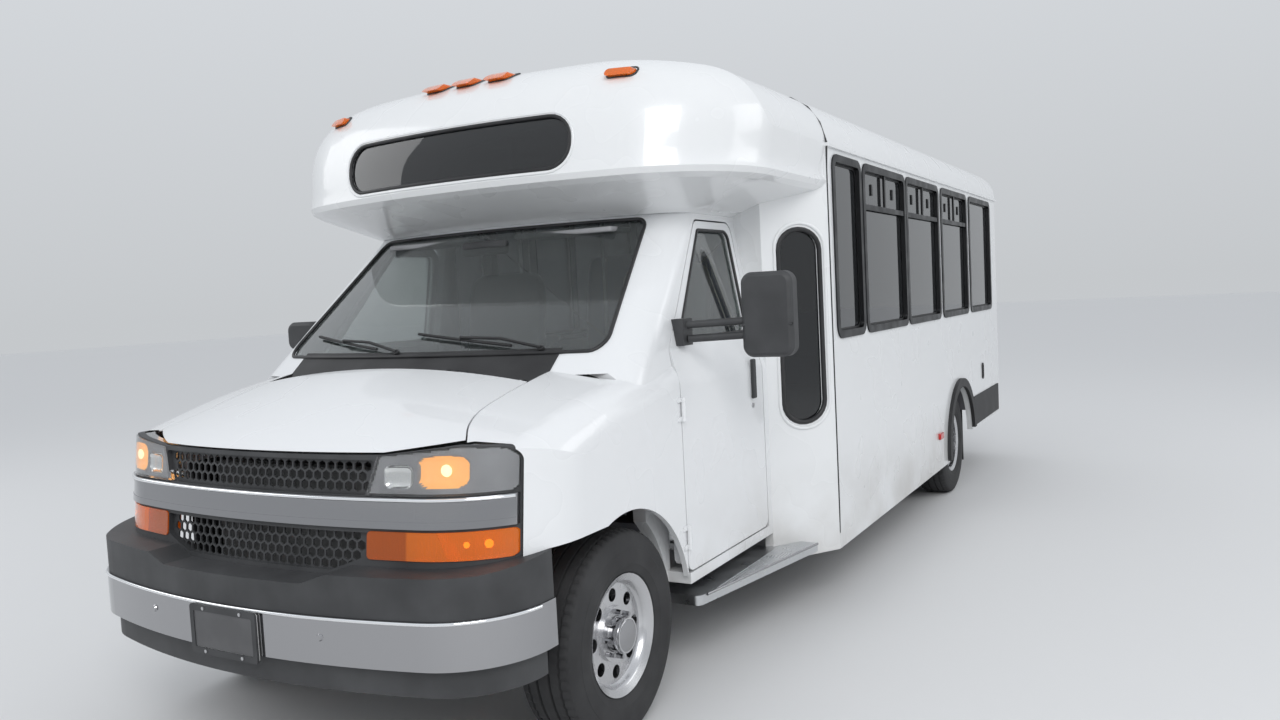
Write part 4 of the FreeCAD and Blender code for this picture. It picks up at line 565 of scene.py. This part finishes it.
def build_side_window_parts():
    """Inner rubber and finger grips of the side windows."""
    sliding_share = 0.24
    for side, name, table in ((1, "left", LEFT_WINDOWS), (-1, "right", RIGHT_WINDOWS)):
        rubber = bmesh.new()
        grips = bmesh.new()
        x = side * (body_half - 0.014)
        for first, last, slides in table:
            loops = []
            for inset in (0.013, 0.024):
                points = rounded(rectangle(first + inset, last - inset, window_sill_z + inset,
                                           window_top_z - inset, 0.040), 5)
                loops.append([rubber.verts.new((x, at(p.x), p.y)) for p in points])
            count = len(loops[0])
            for k in range(count):
                j = (k + 1) % count
                rubber.faces.new((loops[0][k], loops[0][j], loops[1][j], loops[1][k]))
            if slides:
                rail_z = window_top_z - sliding_share * (window_top_z - window_sill_z)
                middle = (first + last) / 2
                for shift in (-0.21, 0.21):
                    y = at(middle + shift)
                    add_box(grips, (x - 0.004, y - 0.012, rail_z + 0.070),
                            (x + 0.004, y + 0.012, rail_z + 0.130))
        built(f"{name}_window_rubber", rubber, "seal")
        built(f"{name}_window_grips", grips, "window_metal", bevel=0.0015)


# The seam where the cap meets the coach body

def build_seam_bead():
    """Cord over the roof and down both walls, laid by rays towards the section's middle."""
    steps, middle_z = 80, 1.25
    points = []
    tree = surface("left_wall", "right_wall", "roof")
    y = at(seam_station + 0.006)
    for i in range(steps + 1):
        angle = math.radians(-46 + 272 * i / steps)
        out = Vector((math.cos(angle), 0.0, math.sin(angle)))
        hit = dropped(tree, Vector((0, y, middle_z)) + out * 3.0, -out)
        if hit and (abs(hit[0].x) > 0.9 or hit[0].z > 2.2):
            points.append(hit[0] + hit[1] * 0.0005)
    bead("body_seam", points, 0.0045, "seal", closed=False)


# Tyres and wheels

# (offset from the tyre's middle, radius) from the rim's bead up to the shoulder
TYRE_PROFILE = ((0.080, 0.2035), (0.0885, 0.2156), (0.099, 0.222), (0.1045, 0.234), (0.1085, 0.247),
                (0.1098, 0.249), (0.1108, 0.262), (0.1115, 0.285), (0.1115, 0.300), (0.1102, 0.302),
                (0.1095, 0.318), (0.1060, 0.337), (0.1010, 0.349), (0.0965, 0.3580), (0.0900, 0.3640))
# the same from the shoulder to the middle of the tread, with its two grooves
TREAD = ((0.0860, 0.3665), (0.0690, 0.3700), (0.0670, 0.3620), (0.0610, 0.3620), (0.0590, 0.3707),
         (0.0300, 0.3713), (0.0280, 0.3625), (0.0210, 0.3625), (0.0190, 0.3714), (0.0, 0.3715))
LUGS = 64
LUG_DEPTH = 0.006


def add_tyre(mesh, x, y):
    """One tyre, its shoulder and the outer band of its tread cut into lugs."""
    half = [(u, r, "side") for u, r in TYRE_PROFILE] + [(u, r, "tread") for u, r in TREAD]
    profile = half + [(-u, r, kind) for u, r, kind in reversed(half[:-1])]
    steps = LUGS * 3
    rings = []
    for i in range(steps):
        ring = []
        for u, r, kind in profile:
            if kind == "tread":
                lug = abs(u) > 0.0585
                shift = 0.35 * (abs(u) / 0.09) + 0.25 * math.cos(u * 120.0)
            else:
                lug = 0.349 < r < 0.3642
                shift = 0.35
            radius = r - (LUG_DEPTH if lug and i % 3 == 0 and r > 0.363 else 0.0)
            angle = 2 * math.pi * (i + shift) / steps
            z = tyre_radius + radius * math.sin(angle)
            ring.append(mesh.verts.new((x + u, y + radius * math.cos(angle), z)))
        rings.append(ring)
    count = len(profile)
    for i in range(steps):
        first, second = rings[i], rings[(i + 1) % steps]
        for k in range(count):
            j = (k + 1) % count
            mesh.faces.new((first[k], second[k], second[j], first[j]))


def build_tyres():
    """Tyres with tread in place of the construction's plain ones."""
    inner, outer = rear_wheel_x - dual_half, rear_wheel_x + dual_half
    for end, station, plural, places in (("front", front_axle_station, "", (wheel_x,)),
                                         ("rear", rear_axle_station, "s", (inner, outer))):
        for side, hand in SIDES:
            mesh = bmesh.new()
            for x in places:
                add_tyre(mesh, side * x, at(station))
            body = f"{end}_{hand}_wheel{plural}"
            piece = built(f"{end}_{hand}_tread", mesh, "tyre_rubber", body, smooth=True)
            piece.data.set_sharp_from_angle(angle=math.radians(28))
            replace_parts(piece, f"{end}_{hand}_tyre{plural}")


def ring_places(x, y, radius, side, phase=0.0):
    """The places and normals of a wheel's eight nuts."""
    count = 8
    places = []
    for i in range(count):
        angle = 2 * math.pi * (i + phase) / count
        place = (x, y + radius * math.cos(angle), tyre_radius + radius * math.sin(angle))
        places.append((place, (side, 0.0, 0.0)))
    return places


# (offset outwards, radius) of the wheels' turned pieces, each from its own foot
FRONT_HUB_CAP = ((0.0, 0.064), (0.028, 0.064), (0.038, 0.060), (0.041, 0.050), (0.043, 0.0))
FRONT_RIM_RING = ((0.0, 0.176), (0.004, 0.180), (0.012, 0.186), (0.030, 0.1905), (0.030, 0.1915))
REAR_LINER = ((0.172, 0.1945), (0.176, 0.1905), (0.160, 0.1875), (0.040, 0.1840), (0.012, 0.1780),
              (0.004, 0.165), (0.002, 0.160))
REAR_HUB_CAP = ((0.0, 0.0795), (0.050, 0.0795), (0.060, 0.074), (0.064, 0.060), (0.066, 0.0))


def build_wheel_trim():
    """Nuts, hub caps and bright rings of the wheels."""
    nut_face, cap_face, ring_face = wheel_x + 0.066, wheel_x + 0.071, wheel_x + 0.054
    rear_face = rear_wheel_x + 0.012
    for side, hand in SIDES:
        y, body = at(front_axle_station), f"front_{hand}_wheel"
        studs(f"front_{hand}_nuts", ring_places(side * nut_face, y, 0.0800, side), 0.0105, 0.022,
              "chrome_trim", body, 6, 0.0085)
        turned(f"front_{hand}_cap", FRONT_HUB_CAP, (side * cap_face, y, tyre_radius), "chrome_trim",
               body, side, 64)
        turned(f"front_{hand}_ring", FRONT_RIM_RING, (side * ring_face, y, tyre_radius), "wheel_metal",
               body, side)
        y, body = at(rear_axle_station), f"rear_{hand}_wheels"
        turned(f"rear_{hand}_liner", REAR_LINER, (side * rear_face, y, tyre_radius), "chrome_trim", body,
               side)
        studs(f"rear_{hand}_nuts", ring_places(side * rear_face, y, 0.100, side, 0.5), 0.0115, 0.028,
              "chrome_trim", body, 6, 0.009)
        turned(f"rear_{hand}_cap", REAR_HUB_CAP, (side * (rear_wheel_x + dual_half), y, tyre_radius),
               "chrome_trim", body, side, 64)


# Lamps

# middle (x, z), half width, half height and depth of each reflector's bowl
LAMP_BOWLS = ((0.735, 1.057, 0.074, 0.048, 0.046), (0.592, 1.043, 0.050, 0.036, 0.028))
HOUSING_DEPTH = 0.014


def lamp_depth(x, z):
    """How far behind the lens the housing lies, and which bowl is there (0 for none)."""
    for number, (bx, bz, wide, high, deep) in enumerate(LAMP_BOWLS, 1):
        reach = abs((x - bx) / wide) ** 4 + abs((z - bz) / high) ** 4
        if reach < 1.0:
            return HOUSING_DEPTH + (deep - HOUSING_DEPTH) * (1.0 - reach) ** 0.5, number
    return HOUSING_DEPTH, 0


# a lamp housing's grid: its lower corner beside the grille, the size of a cell, its columns and rows
GRID_X, GRID_Z = 0.487, 0.992
GRID_CELL = 0.0055
GRID_COLUMNS, GRID_ROWS = 79, 25


def build_lamp_housing(side, name):
    """The sheet behind a headlamp's lens, with its two bowls."""
    rows = []
    for i in range(GRID_ROWS + 1):
        z = GRID_Z + i * GRID_CELL
        row = []
        for k in range(GRID_COLUMNS + 1):
            x = GRID_X + k * GRID_CELL
            hit = from_front(lamp_tree, side * x, z)
            seen = hit and hit[1].y < -0.35
            row.append(hit[0] + Vector((0, lamp_depth(x, z)[0], 0)) if seen else None)
        rows.append(row)
    vertices, faces, bowls = [], [], []
    index = {}
    for i in range(GRID_ROWS):
        for k in range(GRID_COLUMNS):
            corners = ((i, k), (i, k + 1), (i + 1, k + 1), (i + 1, k))
            if any(rows[a][b] is None for a, b in corners):
                continue
            face = []
            for a, b in corners:
                if (a, b) not in index:
                    index[a, b] = len(vertices)
                    vertices.append(rows[a][b])
                face.append(index[a, b])
            faces.append(face)
            bowls.append(lamp_depth(GRID_X + (k + 0.5) * GRID_CELL, GRID_Z + (i + 0.5) * GRID_CELL)[1])
    piece = mesh_piece(f"{name}_lamp_housing", vertices, faces, "lamp_bezel")
    piece.data.materials.append(extra["lit_reflector"])
    piece.data.materials.append(extra["reflector"])
    for polygon, bowl in zip(piece.data.polygons, bowls):
        polygon.material_index = bowl


def build_headlamps():
    """Housings and bulbs behind the lenses of the headlamps and the signal lamps."""
    for side, name in SIDES:
        build_lamp_housing(side, name)
        place, _ = from_front(lamp_tree, side * 0.742, 1.061)
        mesh = bmesh.new()
        shape = Matrix.Diagonal((0.019, 0.013, 0.019, 1.0))
        matrix = Matrix.Translation(place + Vector((0, 0.026, 0))) @ shape
        bmesh.ops.create_icosphere(mesh, subdivisions=3, radius=1.0, matrix=matrix)
        built(f"{name}_lamp_bulb", mesh, "bulb", smooth=True)
        mesh = bmesh.new()
        for x, radius in ((0.855, 0.014), (0.800, 0.010)):
            spot = from_front(amber_tree, side * x, 0.835)
            if spot:
                matrix = Matrix.Translation(spot[0] + Vector((0, 0.022, 0)))
                bmesh.ops.create_icosphere(mesh, subdivisions=2, radius=radius, matrix=matrix)
        built(f"{name}_signal_bulbs", mesh, "amber_bulb", smooth=True)


# middle (x, z) of each marker lamp above the windshield
MARKERS = ((0.0, 2.522), (0.172, 2.521), (-0.172, 2.521), (0.766, 2.450), (-0.766, 2.450))


def build_marker_bases():
    """The dark bases that the marker lamps stand on."""
    half, high = 0.057, 0.021
    for i, (x, z) in enumerate(MARKERS):
        base = rectangle(x - half, x + half, z - high, z + high, 0.018)
        loop = front_loop(cap_tree, base, 0.001)
        bead(f"marker_base_{i}", loop, 0.0045, "dark_plastic")


# Plate frame, painted highlight lips and bumper bolts

# half width, lowest z, highest z and corner radius of the plate frame's outline and opening
FRAME_OUTLINE = (0.158, 0.468, 0.632, 0.012)
FRAME_OPENING = (0.140, 0.489, 0.611, 0.006)


def build_plate_frame():
    """The front plate's moulded frame, its screws and the blank plate in it."""
    face_y = front_y - 0.0035
    back_y = face_y + 0.008
    outer, inner = (rounded(rectangle(-half, half, low, high, radius), 4)
                    for half, low, high, radius in (FRAME_OUTLINE, FRAME_OPENING))
    mesh = bmesh.new()
    loops = [[mesh.verts.new((p.x, y, p.y)) for p in points]
             for points, y in ((outer, back_y), (outer, face_y), (inner, face_y), (inner, back_y))]
    for a, b in zip(loops, loops[1:] + loops[:1]):
        for k in range(len(a)):
            j = (k + 1) % len(a)
            mesh.faces.new((a[k], a[j], b[j], b[k]))
    built("plate_frame", mesh, "dark_plastic")
    blank = ((-0.139, front_y - 0.0008, 0.490), (0.139, front_y + 0.001, 0.610))
    boxes("plate_blank", [blank], "plate_grey")
    screws = [((x, face_y, z), (0, -1, 0)) for x in (-0.0889, 0.0889) for z in (0.479, 0.621)]
    studs("plate_screws", screws, 0.006, 0.003, "screw")


# piece, node, surface, height where the search for its top begins and radius of each painted highlight lip
PAINTED_HIGHLIGHT_LIPS = (("band_lip", "grille_bar", bar_tree, 1.02, 0.0065),
               ("bumper_lip", "front_bumper", bumper_tree, 0.72, 0.006))


def build_painted_highlights():
    """Painted highlights: bright metal beads along the upper lips of the chrome band and the bumper's
    chrome.
    """
    steps, drop = 120, 0.002
    for name, node, tree, high, radius in PAINTED_HIGHLIGHT_LIPS:
        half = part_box(node)[1][0] - 0.003
        points = []
        for i in range(steps + 1):
            x = half * math.sin(math.pi / 2 * (2 * i / steps - 1.0))
            for k in range(120):
                hit = from_front(tree, x, high - drop * k)
                if hit and hit[0].y < front_y + 0.6:
                    points.append(hit[0] - Vector((0, 0, radius)))
                    break
        bead(name, points, radius, "painted_highlight_edge", closed=False)


def build_bumper_bolts():
    """The two round bolt heads on the bumper's chrome."""
    places = [from_front(bumper_tree, x, 0.575) for x in (-0.40, 0.40)]
    studs("bumper_bolts", places, 0.013, 0.006, "chrome_trim", sides=20, tip=0.009)


# Cab fittings

# side, name, inner and outer x, lowest and highest z of each mirror's housing
MIRRORS = ((1, "left", 1.209, 1.420, 1.305, 1.632), (-1, "right", 1.110, 1.315, 1.376, 1.518))


def build_mirrors():
    """Mirror glass and the housings' edges; the left one has two panes and a ridge across its front."""
    for side, name, x0, x1, z0, z1 in MIRRORS:
        y = at(mirror_station + mirror_depth)
        bands = [(z0 + 0.012, z1 - 0.012)]
        if side > 0:
            bands = [(z0 + 0.090, z1 - 0.014), (z0 + 0.014, z0 + 0.080)]
        mesh = bmesh.new()
        for low, high in bands:
            points = rounded(rectangle(x0 + 0.013, x1 - 0.013, low, high, 0.022), 4)
            mesh.faces.new([mesh.verts.new((side * p.x, y + 0.0012, p.y)) for p in points])
        built(f"{name}_mirror_glass", mesh, "mirror_silver", f"{name}_door")
        edge = rectangle(x0 + 0.006, x1 - 0.006, z0 + 0.006, z1 - 0.006, 0.038)
        bead(f"{name}_mirror_edge", flat_loop(edge, y, side), 0.0055, "dark_plastic", f"{name}_door")
        if side > 0:
            ridge_y = at(mirror_station) + 0.006
            ridge = [Vector((x0 + 0.002 + 0.207 * k / 8, ridge_y, 1.430)) for k in range(9)]
            bead("left_mirror_ridge", ridge, 0.006, "dark_plastic", "left_door", closed=False)


def build_door_handles():
    """Covers and locks of the cab doors' handles."""
    for side, name in SIDES:
        mesh = bmesh.new()
        x0, x1 = sorted((side * cab_half, side * (cab_half + 0.0175)))
        add_box(mesh, (x0, at(2.0135), 1.082), (x1, at(2.0465), 1.258))
        built(f"{name}_handle_cover", mesh, "dark_plastic", f"{name}_door", bevel=0.006, segments=3)
        lock = ((side * cab_half, at(2.030), 1.050), (side, 0, 0))
        studs(f"{name}_door_lock", [lock], 0.011, 0.004, "screw", f"{name}_door", 20)


def build_step_ribs():
    """Ribs along the running boards' tops, and their bright outer edges."""
    ribs, pitch, half = 11, 0.0135, 0.0022
    tree = surface("running_boards")
    for side, name in SIDES:
        mesh = bmesh.new()
        for i in range(ribs):
            x = side * (1.030 + pitch * i)
            hits = []
            for y in (at(1.42 + 0.01 * k) for k in range(108)):
                hit = dropped(tree, (x, y, 1.0), DOWNWARDS)
                if hit and abs(hit[0].z - board_top_z) < 0.002:
                    hits.append(y)
            if len(hits) > 12:
                add_box(mesh, (x - half, hits[0] + 0.01, board_top_z - 0.001),
                        (x + half, hits[-1] - 0.01, board_top_z + 0.0022))
        built(f"{name}_board_ribs", mesh, "step_metal", bevel=0.0008, segments=1)
        points = []
        for k in range(60):
            y = at(1.45 + k * 0.0172)
            hit = from_side(tree, side, y, board_top_z - 0.012, 1.6)
            if hit and hit[0].x * side > 0.95:
                points.append(hit[0] + Vector((side * 0.001, 0, 0.008)))
        bead(f"{name}_board_edge", points, 0.006, "chrome_trim", closed=False)


def build_cab_inside():
    """The mirror and the sun visors that show through the windshield."""
    mirror = ((-0.125, at(1.452), 1.775), (0.125, at(1.480), 1.840))
    boxes("inside_mirror", [mirror], "dark_plastic", bevel=0.012)
    stem = ((-0.012, at(1.478), 1.815), (0.012, at(1.545), 1.845))
    boxes("inside_mirror_stem", [stem], "dark_plastic", bevel=0.003)
    visors = [((x, at(1.520), 1.838), (x + 0.50, at(1.700), 1.860)) for x in (0.12, -0.62)]
    boxes("sun_visors", visors, "lining", bevel=0.008)


def build_air_guides():
    """Two upright sheets behind the grille and the one that joins them at their rear."""
    half, low_z, high_z = 0.475, 0.640, 1.040
    first, last = at(0.26), at(0.42)
    sheets = [((x - 0.002, first, low_z), (x + 0.002, last, high_z)) for x in (-half, half)]
    sheets.append(((-half, last - 0.004, low_z), (half, last, high_z)))
    boxes("air_guides", sheets, "frame_steel")


# Seats as rounded cushions

def add_cushion(mesh, low, high, lean=0.0, power=5.0, cells=10):
    """A crowned pad in a box, its front drawn in at the seams; `lean` tips its top backwards."""
    channels = 3
    middle = (Vector(low) + Vector(high)) / 2
    half = (Vector(high) - Vector(low)) / 2
    made = {}

    def point(key):
        if key not in made:
            p = Vector([2 * k / cells - 1 for k in key])
            q = p / (abs(p.x) ** power + abs(p.y) ** power + abs(p.z) ** power) ** (1 / power)
            q.y *= 1.0 - 0.10 * abs(math.cos(math.pi * channels * (q.x + 1.0) / 2)) ** 12
            tip = lean * (q.z + 1.0) / 2
            offset = Vector((q.x * half.x, q.y * half.y + tip, q.z * half.z))
            made[key] = mesh.verts.new(middle + offset)
        return made[key]

    for axis in range(3):
        for end in (0, cells):
            for i in range(cells):
                for j in range(cells):
                    corners = []
                    for u, v in ((i, j), (i + 1, j), (i + 1, j + 1), (i, j + 1)):
                        key = [u, v]
                        key.insert(axis, end)
                        corners.append(point(tuple(key)))
                    mesh.faces.new(corners)


def add_bench(pads, frames, x, width, station, floor, seat_z, back_z, places):
    """A bench or a single seat: the cushions, two legs, a pan and an arm rest."""
    y, base = at(station), floor + 0.0003
    low_x, high_x = x - width / 2, x + width / 2
    share = width / places
    pan_z, arm_z = base + seat_z - 0.105, base + seat_z + 0.115
    for i in range(places):
        x0 = low_x + i * share + 0.004
        x1 = x0 + share - 0.008
        add_cushion(pads, (x0, y + 0.004, pan_z), (x1, y + 0.455, base + seat_z + 0.020))
        add_cushion(pads, (x0 + 0.004, y + 0.430, base + seat_z - 0.010),
                    (x1 - 0.004, y + 0.535, base + back_z - 0.004), 0.088, 6.0, 12)
    for leg_x in (x - width / 4, x + width / 4 - 0.03):
        add_box(frames, (leg_x, y + 0.12, base), (leg_x + 0.03, y + 0.40, pan_z))
    add_box(frames, (low_x + 0.02, y + 0.03, pan_z - 0.020), (high_x - 0.02, y + 0.44, pan_z + 0.005))
    add_box(frames, (low_x, y + 0.10, arm_z), (low_x + 0.028, y + 0.45, arm_z + 0.030))


# side and stations of the saloon's benches
BENCHES = ((1, (2.700, 3.480, 4.260, 5.040, 5.820)), (-1, (3.560, 4.300, 5.040, 5.820)))


def build_seats():
    """Cushions and plain frames in place of the construction's seats."""
    pads, frames = bmesh.new(), bmesh.new()
    for side, stations in BENCHES:
        for station in stations:
            add_bench(pads, frames, side * 0.700, 0.880, station, floor_z, 0.430, 1.130, 2)
    piece = built("saloon_cushions", pads, "blue_fabric", smooth=True)
    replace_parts(piece, "saloon_seats")
    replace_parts(built("saloon_seat_frames", frames, "dash_plastic", bevel=0.004), "saloon_seats")
    pads, frames = bmesh.new(), bmesh.new()
    for side, _ in SIDES:
        add_bench(pads, frames, side * 0.480, 0.480, 1.690, cab_floor_z, 0.390, 1.030, 1)
    piece = built("cab_cushions", pads, "grey_fabric", smooth=True)
    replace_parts(piece, "cab_seats")
    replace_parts(built("cab_seat_frames", frames, "dash_plastic", bevel=0.004), "cab_seats")


# Entry leaves, rear door and rear lamps

def build_entry_rubber():
    """Rubber round the glass of the entry leaves and along the edges where they meet."""
    middle, last_station = entry_station + entry_width / 2, entry_station + entry_width
    for name, first, last, meeting, inward in (
            ("front", entry_station + 0.006, middle - 0.003, middle - 0.003, -1),
            ("rear", middle + 0.003, last_station - 0.006, middle + 0.003, 1)):
        window = rectangle(first + 0.066, last - 0.066, 0.616, 2.044, 0.064)
        points = [Vector((-body_half - 0.001, at(p.x), p.y)) for p in rounded(window)]
        bead(f"entry_{name}_seal", points, 0.008, "seal", f"entry_{name}")
        y0, y1 = sorted((at(meeting) + inward * 0.0005, at(meeting + inward * 0.030)))
        edge = ((-body_half - 0.004, y0, 0.362), (-body_half + 0.002, y1, 2.132))
        boxes(f"entry_{name}_edge", [edge], "seal", f"entry_{name}", bevel=0.0015)


def build_rear_details():
    """Rubber of the rear door and its panes, rings of the tail lamps and the plate's lamp."""
    y = at(body_end_station)
    door = rectangle(-0.436, 0.436, 0.609, 2.156, 0.03)
    bead("rear_door_seal", flat_loop(door, y + 0.002), 0.006, "seal")
    for name, z0, z1 in (("lower", 0.735, 1.25), ("upper", 1.34, 2.07)):
        pane = rectangle(-0.324, 0.324, z0 - 0.004, z1 + 0.004, 0.054)
        bead(f"rear_{name}_pane_seal", flat_loop(pane, y + 0.001), 0.008, "seal", "rear_door")
    for side, name in SIDES:
        for i, (z0, z1) in enumerate(((0.760, 0.900), (0.930, 1.070), (1.100, 1.200))):
            lamp = rectangle(0.925, 1.075, z0 - 0.005, z1 + 0.005, 0.034)
            bead(f"{name}_tail_ring_{i}", flat_loop(lamp, y + 0.003, side), 0.0055, "chrome_trim")
    lamp = ((-0.765, y, 0.930), (-0.685, y + 0.018, 0.950))
    boxes("plate_lamp", [lamp], "dark_plastic", bevel=0.004)


def build_side_markers():
    """A red marker low on each wall, ahead of the rear wheels."""
    for side, name in SIDES:
        x0, x1 = sorted((side * body_half, side * (body_half + 0.0185)))
        marker = ((x0, at(4.652), 0.497), (x1, at(4.748), 0.539))
        boxes(f"{name}_side_marker", [marker], "red_lens", bevel=0.006)


def build_cowl_louvres():
    """Louvres on the cowl's tray."""
    tree = surface("cowl")
    mesh = bmesh.new()
    for i in range(29):
        x = -0.58 + i * 0.04143
        hit = dropped(tree, (x, at(0.875), 2.0), DOWNWARDS)
        if hit and hit[0].z < 1.32:
            z = hit[0].z
            add_box(mesh, (x - 0.012, at(0.850), z - 0.002), (x + 0.012, at(0.900), z + 0.0025))
    built("cowl_louvres", mesh, "dark_plastic", bevel=0.001, segments=1)


build_shell_seals()
build_side_window_parts()
build_seam_bead()
build_tyres()
build_wheel_trim()
build_headlamps()
build_marker_bases()
build_plate_frame()
build_painted_highlights()
build_bumper_bolts()
build_mirrors()
build_door_handles()
build_step_ribs()
build_cab_inside()
build_air_guides()
build_seats()
build_entry_rubber()
build_rear_details()
build_side_markers()
build_cowl_louvres()


# Stage, light and camera

def build_floor_plane():
    """A pale floor that reaches past the picture."""
    reach = 60.0
    mesh = bpy.data.meshes.new("floor_plane")
    corners = [(-reach, -reach, 0.0), (reach, -reach, 0.0), (reach, reach, 0.0), (-reach, reach, 0.0)]
    mesh.from_pydata(corners, [], [(0, 1, 2, 3)])
    plane = bpy.data.objects.new("floor_plane", mesh)
    scene.collection.objects.link(plane)
    shader = Shader("floor_pale", (0.72, 0.72, 0.72), 0.85)
    shader.bump(shader.noise(40.0, 4.0), 0.05, 0.002)
    mesh.materials.append(shader.material)


def area_light(name, place, target, size, power):
    """A rectangular lamp that looks at a target; the size is in metres and the power in watts."""
    data = bpy.data.lights.new(name, "AREA")
    data.shape = "RECTANGLE"
    data.size, data.size_y = size
    data.energy = power
    lamp = bpy.data.objects.new(name, data)
    lamp.location = place
    lamp.rotation_mode = "QUATERNION"
    lamp.rotation_quaternion = (Vector(target) - Vector(place)).to_track_quat("-Z", "Y")
    scene.collection.objects.link(lamp)


HORIZON = (0.56, 0.58, 0.60, 1.0)
SKY = (0.74, 0.77, 0.81, 1.0)


def build_world():
    """Even pale light that grows towards the sky."""
    world = bpy.data.worlds.new("studio")
    world.use_nodes = True
    scene.world = world
    background = world.node_tree.nodes["Background"]
    background.inputs["Strength"].default_value = 1.0
    tree = world.node_tree
    place = tree.nodes.new("ShaderNodeTexCoord")
    split = tree.nodes.new("ShaderNodeSeparateXYZ")
    ramp = tree.nodes.new("ShaderNodeValToRGB")
    tree.links.new(place.outputs["Generated"], split.inputs["Vector"])
    tree.links.new(split.outputs["Z"], ramp.inputs["Fac"])
    tree.links.new(ramp.outputs["Color"], background.inputs["Color"])
    ramp.color_ramp.elements[0].color = HORIZON
    ramp.color_ramp.elements[1].position = 0.55
    ramp.color_ramp.elements[1].color = SKY


def build_camera():
    """The camera that was fitted to the photograph."""
    place = (2.7364, -5.6093, 1.5610)
    focal_pixels, picture_width = 982.6, 1280.0
    yaw, pitch, roll = math.radians(29.61), math.radians(3.70), math.radians(2.92)
    ahead = math.cos(pitch)
    forward = Vector((-math.sin(yaw) * ahead, math.cos(yaw) * ahead, -math.sin(pitch)))
    level = Vector((math.cos(yaw), math.sin(yaw), 0.0))
    below = forward.cross(level)
    right = math.cos(roll) * level + math.sin(roll) * below
    down = math.cos(roll) * below - math.sin(roll) * level
    data = bpy.data.cameras.new("camera")
    data.sensor_width = 36.0
    data.lens = data.sensor_width * focal_pixels / picture_width
    data.clip_end = 200.0
    camera = bpy.data.objects.new("camera", data)
    pose = Matrix((right, -down, -forward)).transposed().to_4x4()
    pose.translation = place
    camera.matrix_world = pose
    scene.collection.objects.link(camera)
    scene.camera = camera


build_floor_plane()
build_world()
build_camera()
area_light("key", (6.0, -9.0, 7.0), (0.0, 0.0, 1.2), (5.0, 4.0), 400.0)
area_light("side", (9.0, 3.0, 5.0), (0.5, 0.5, 1.2), (6.0, 4.0), 120.0)
area_light("far", (-8.0, -5.0, 6.0), (0.0, 0.0, 1.2), (5.0, 4.0), 100.0)
scene.view_settings.view_transform = "Standard"
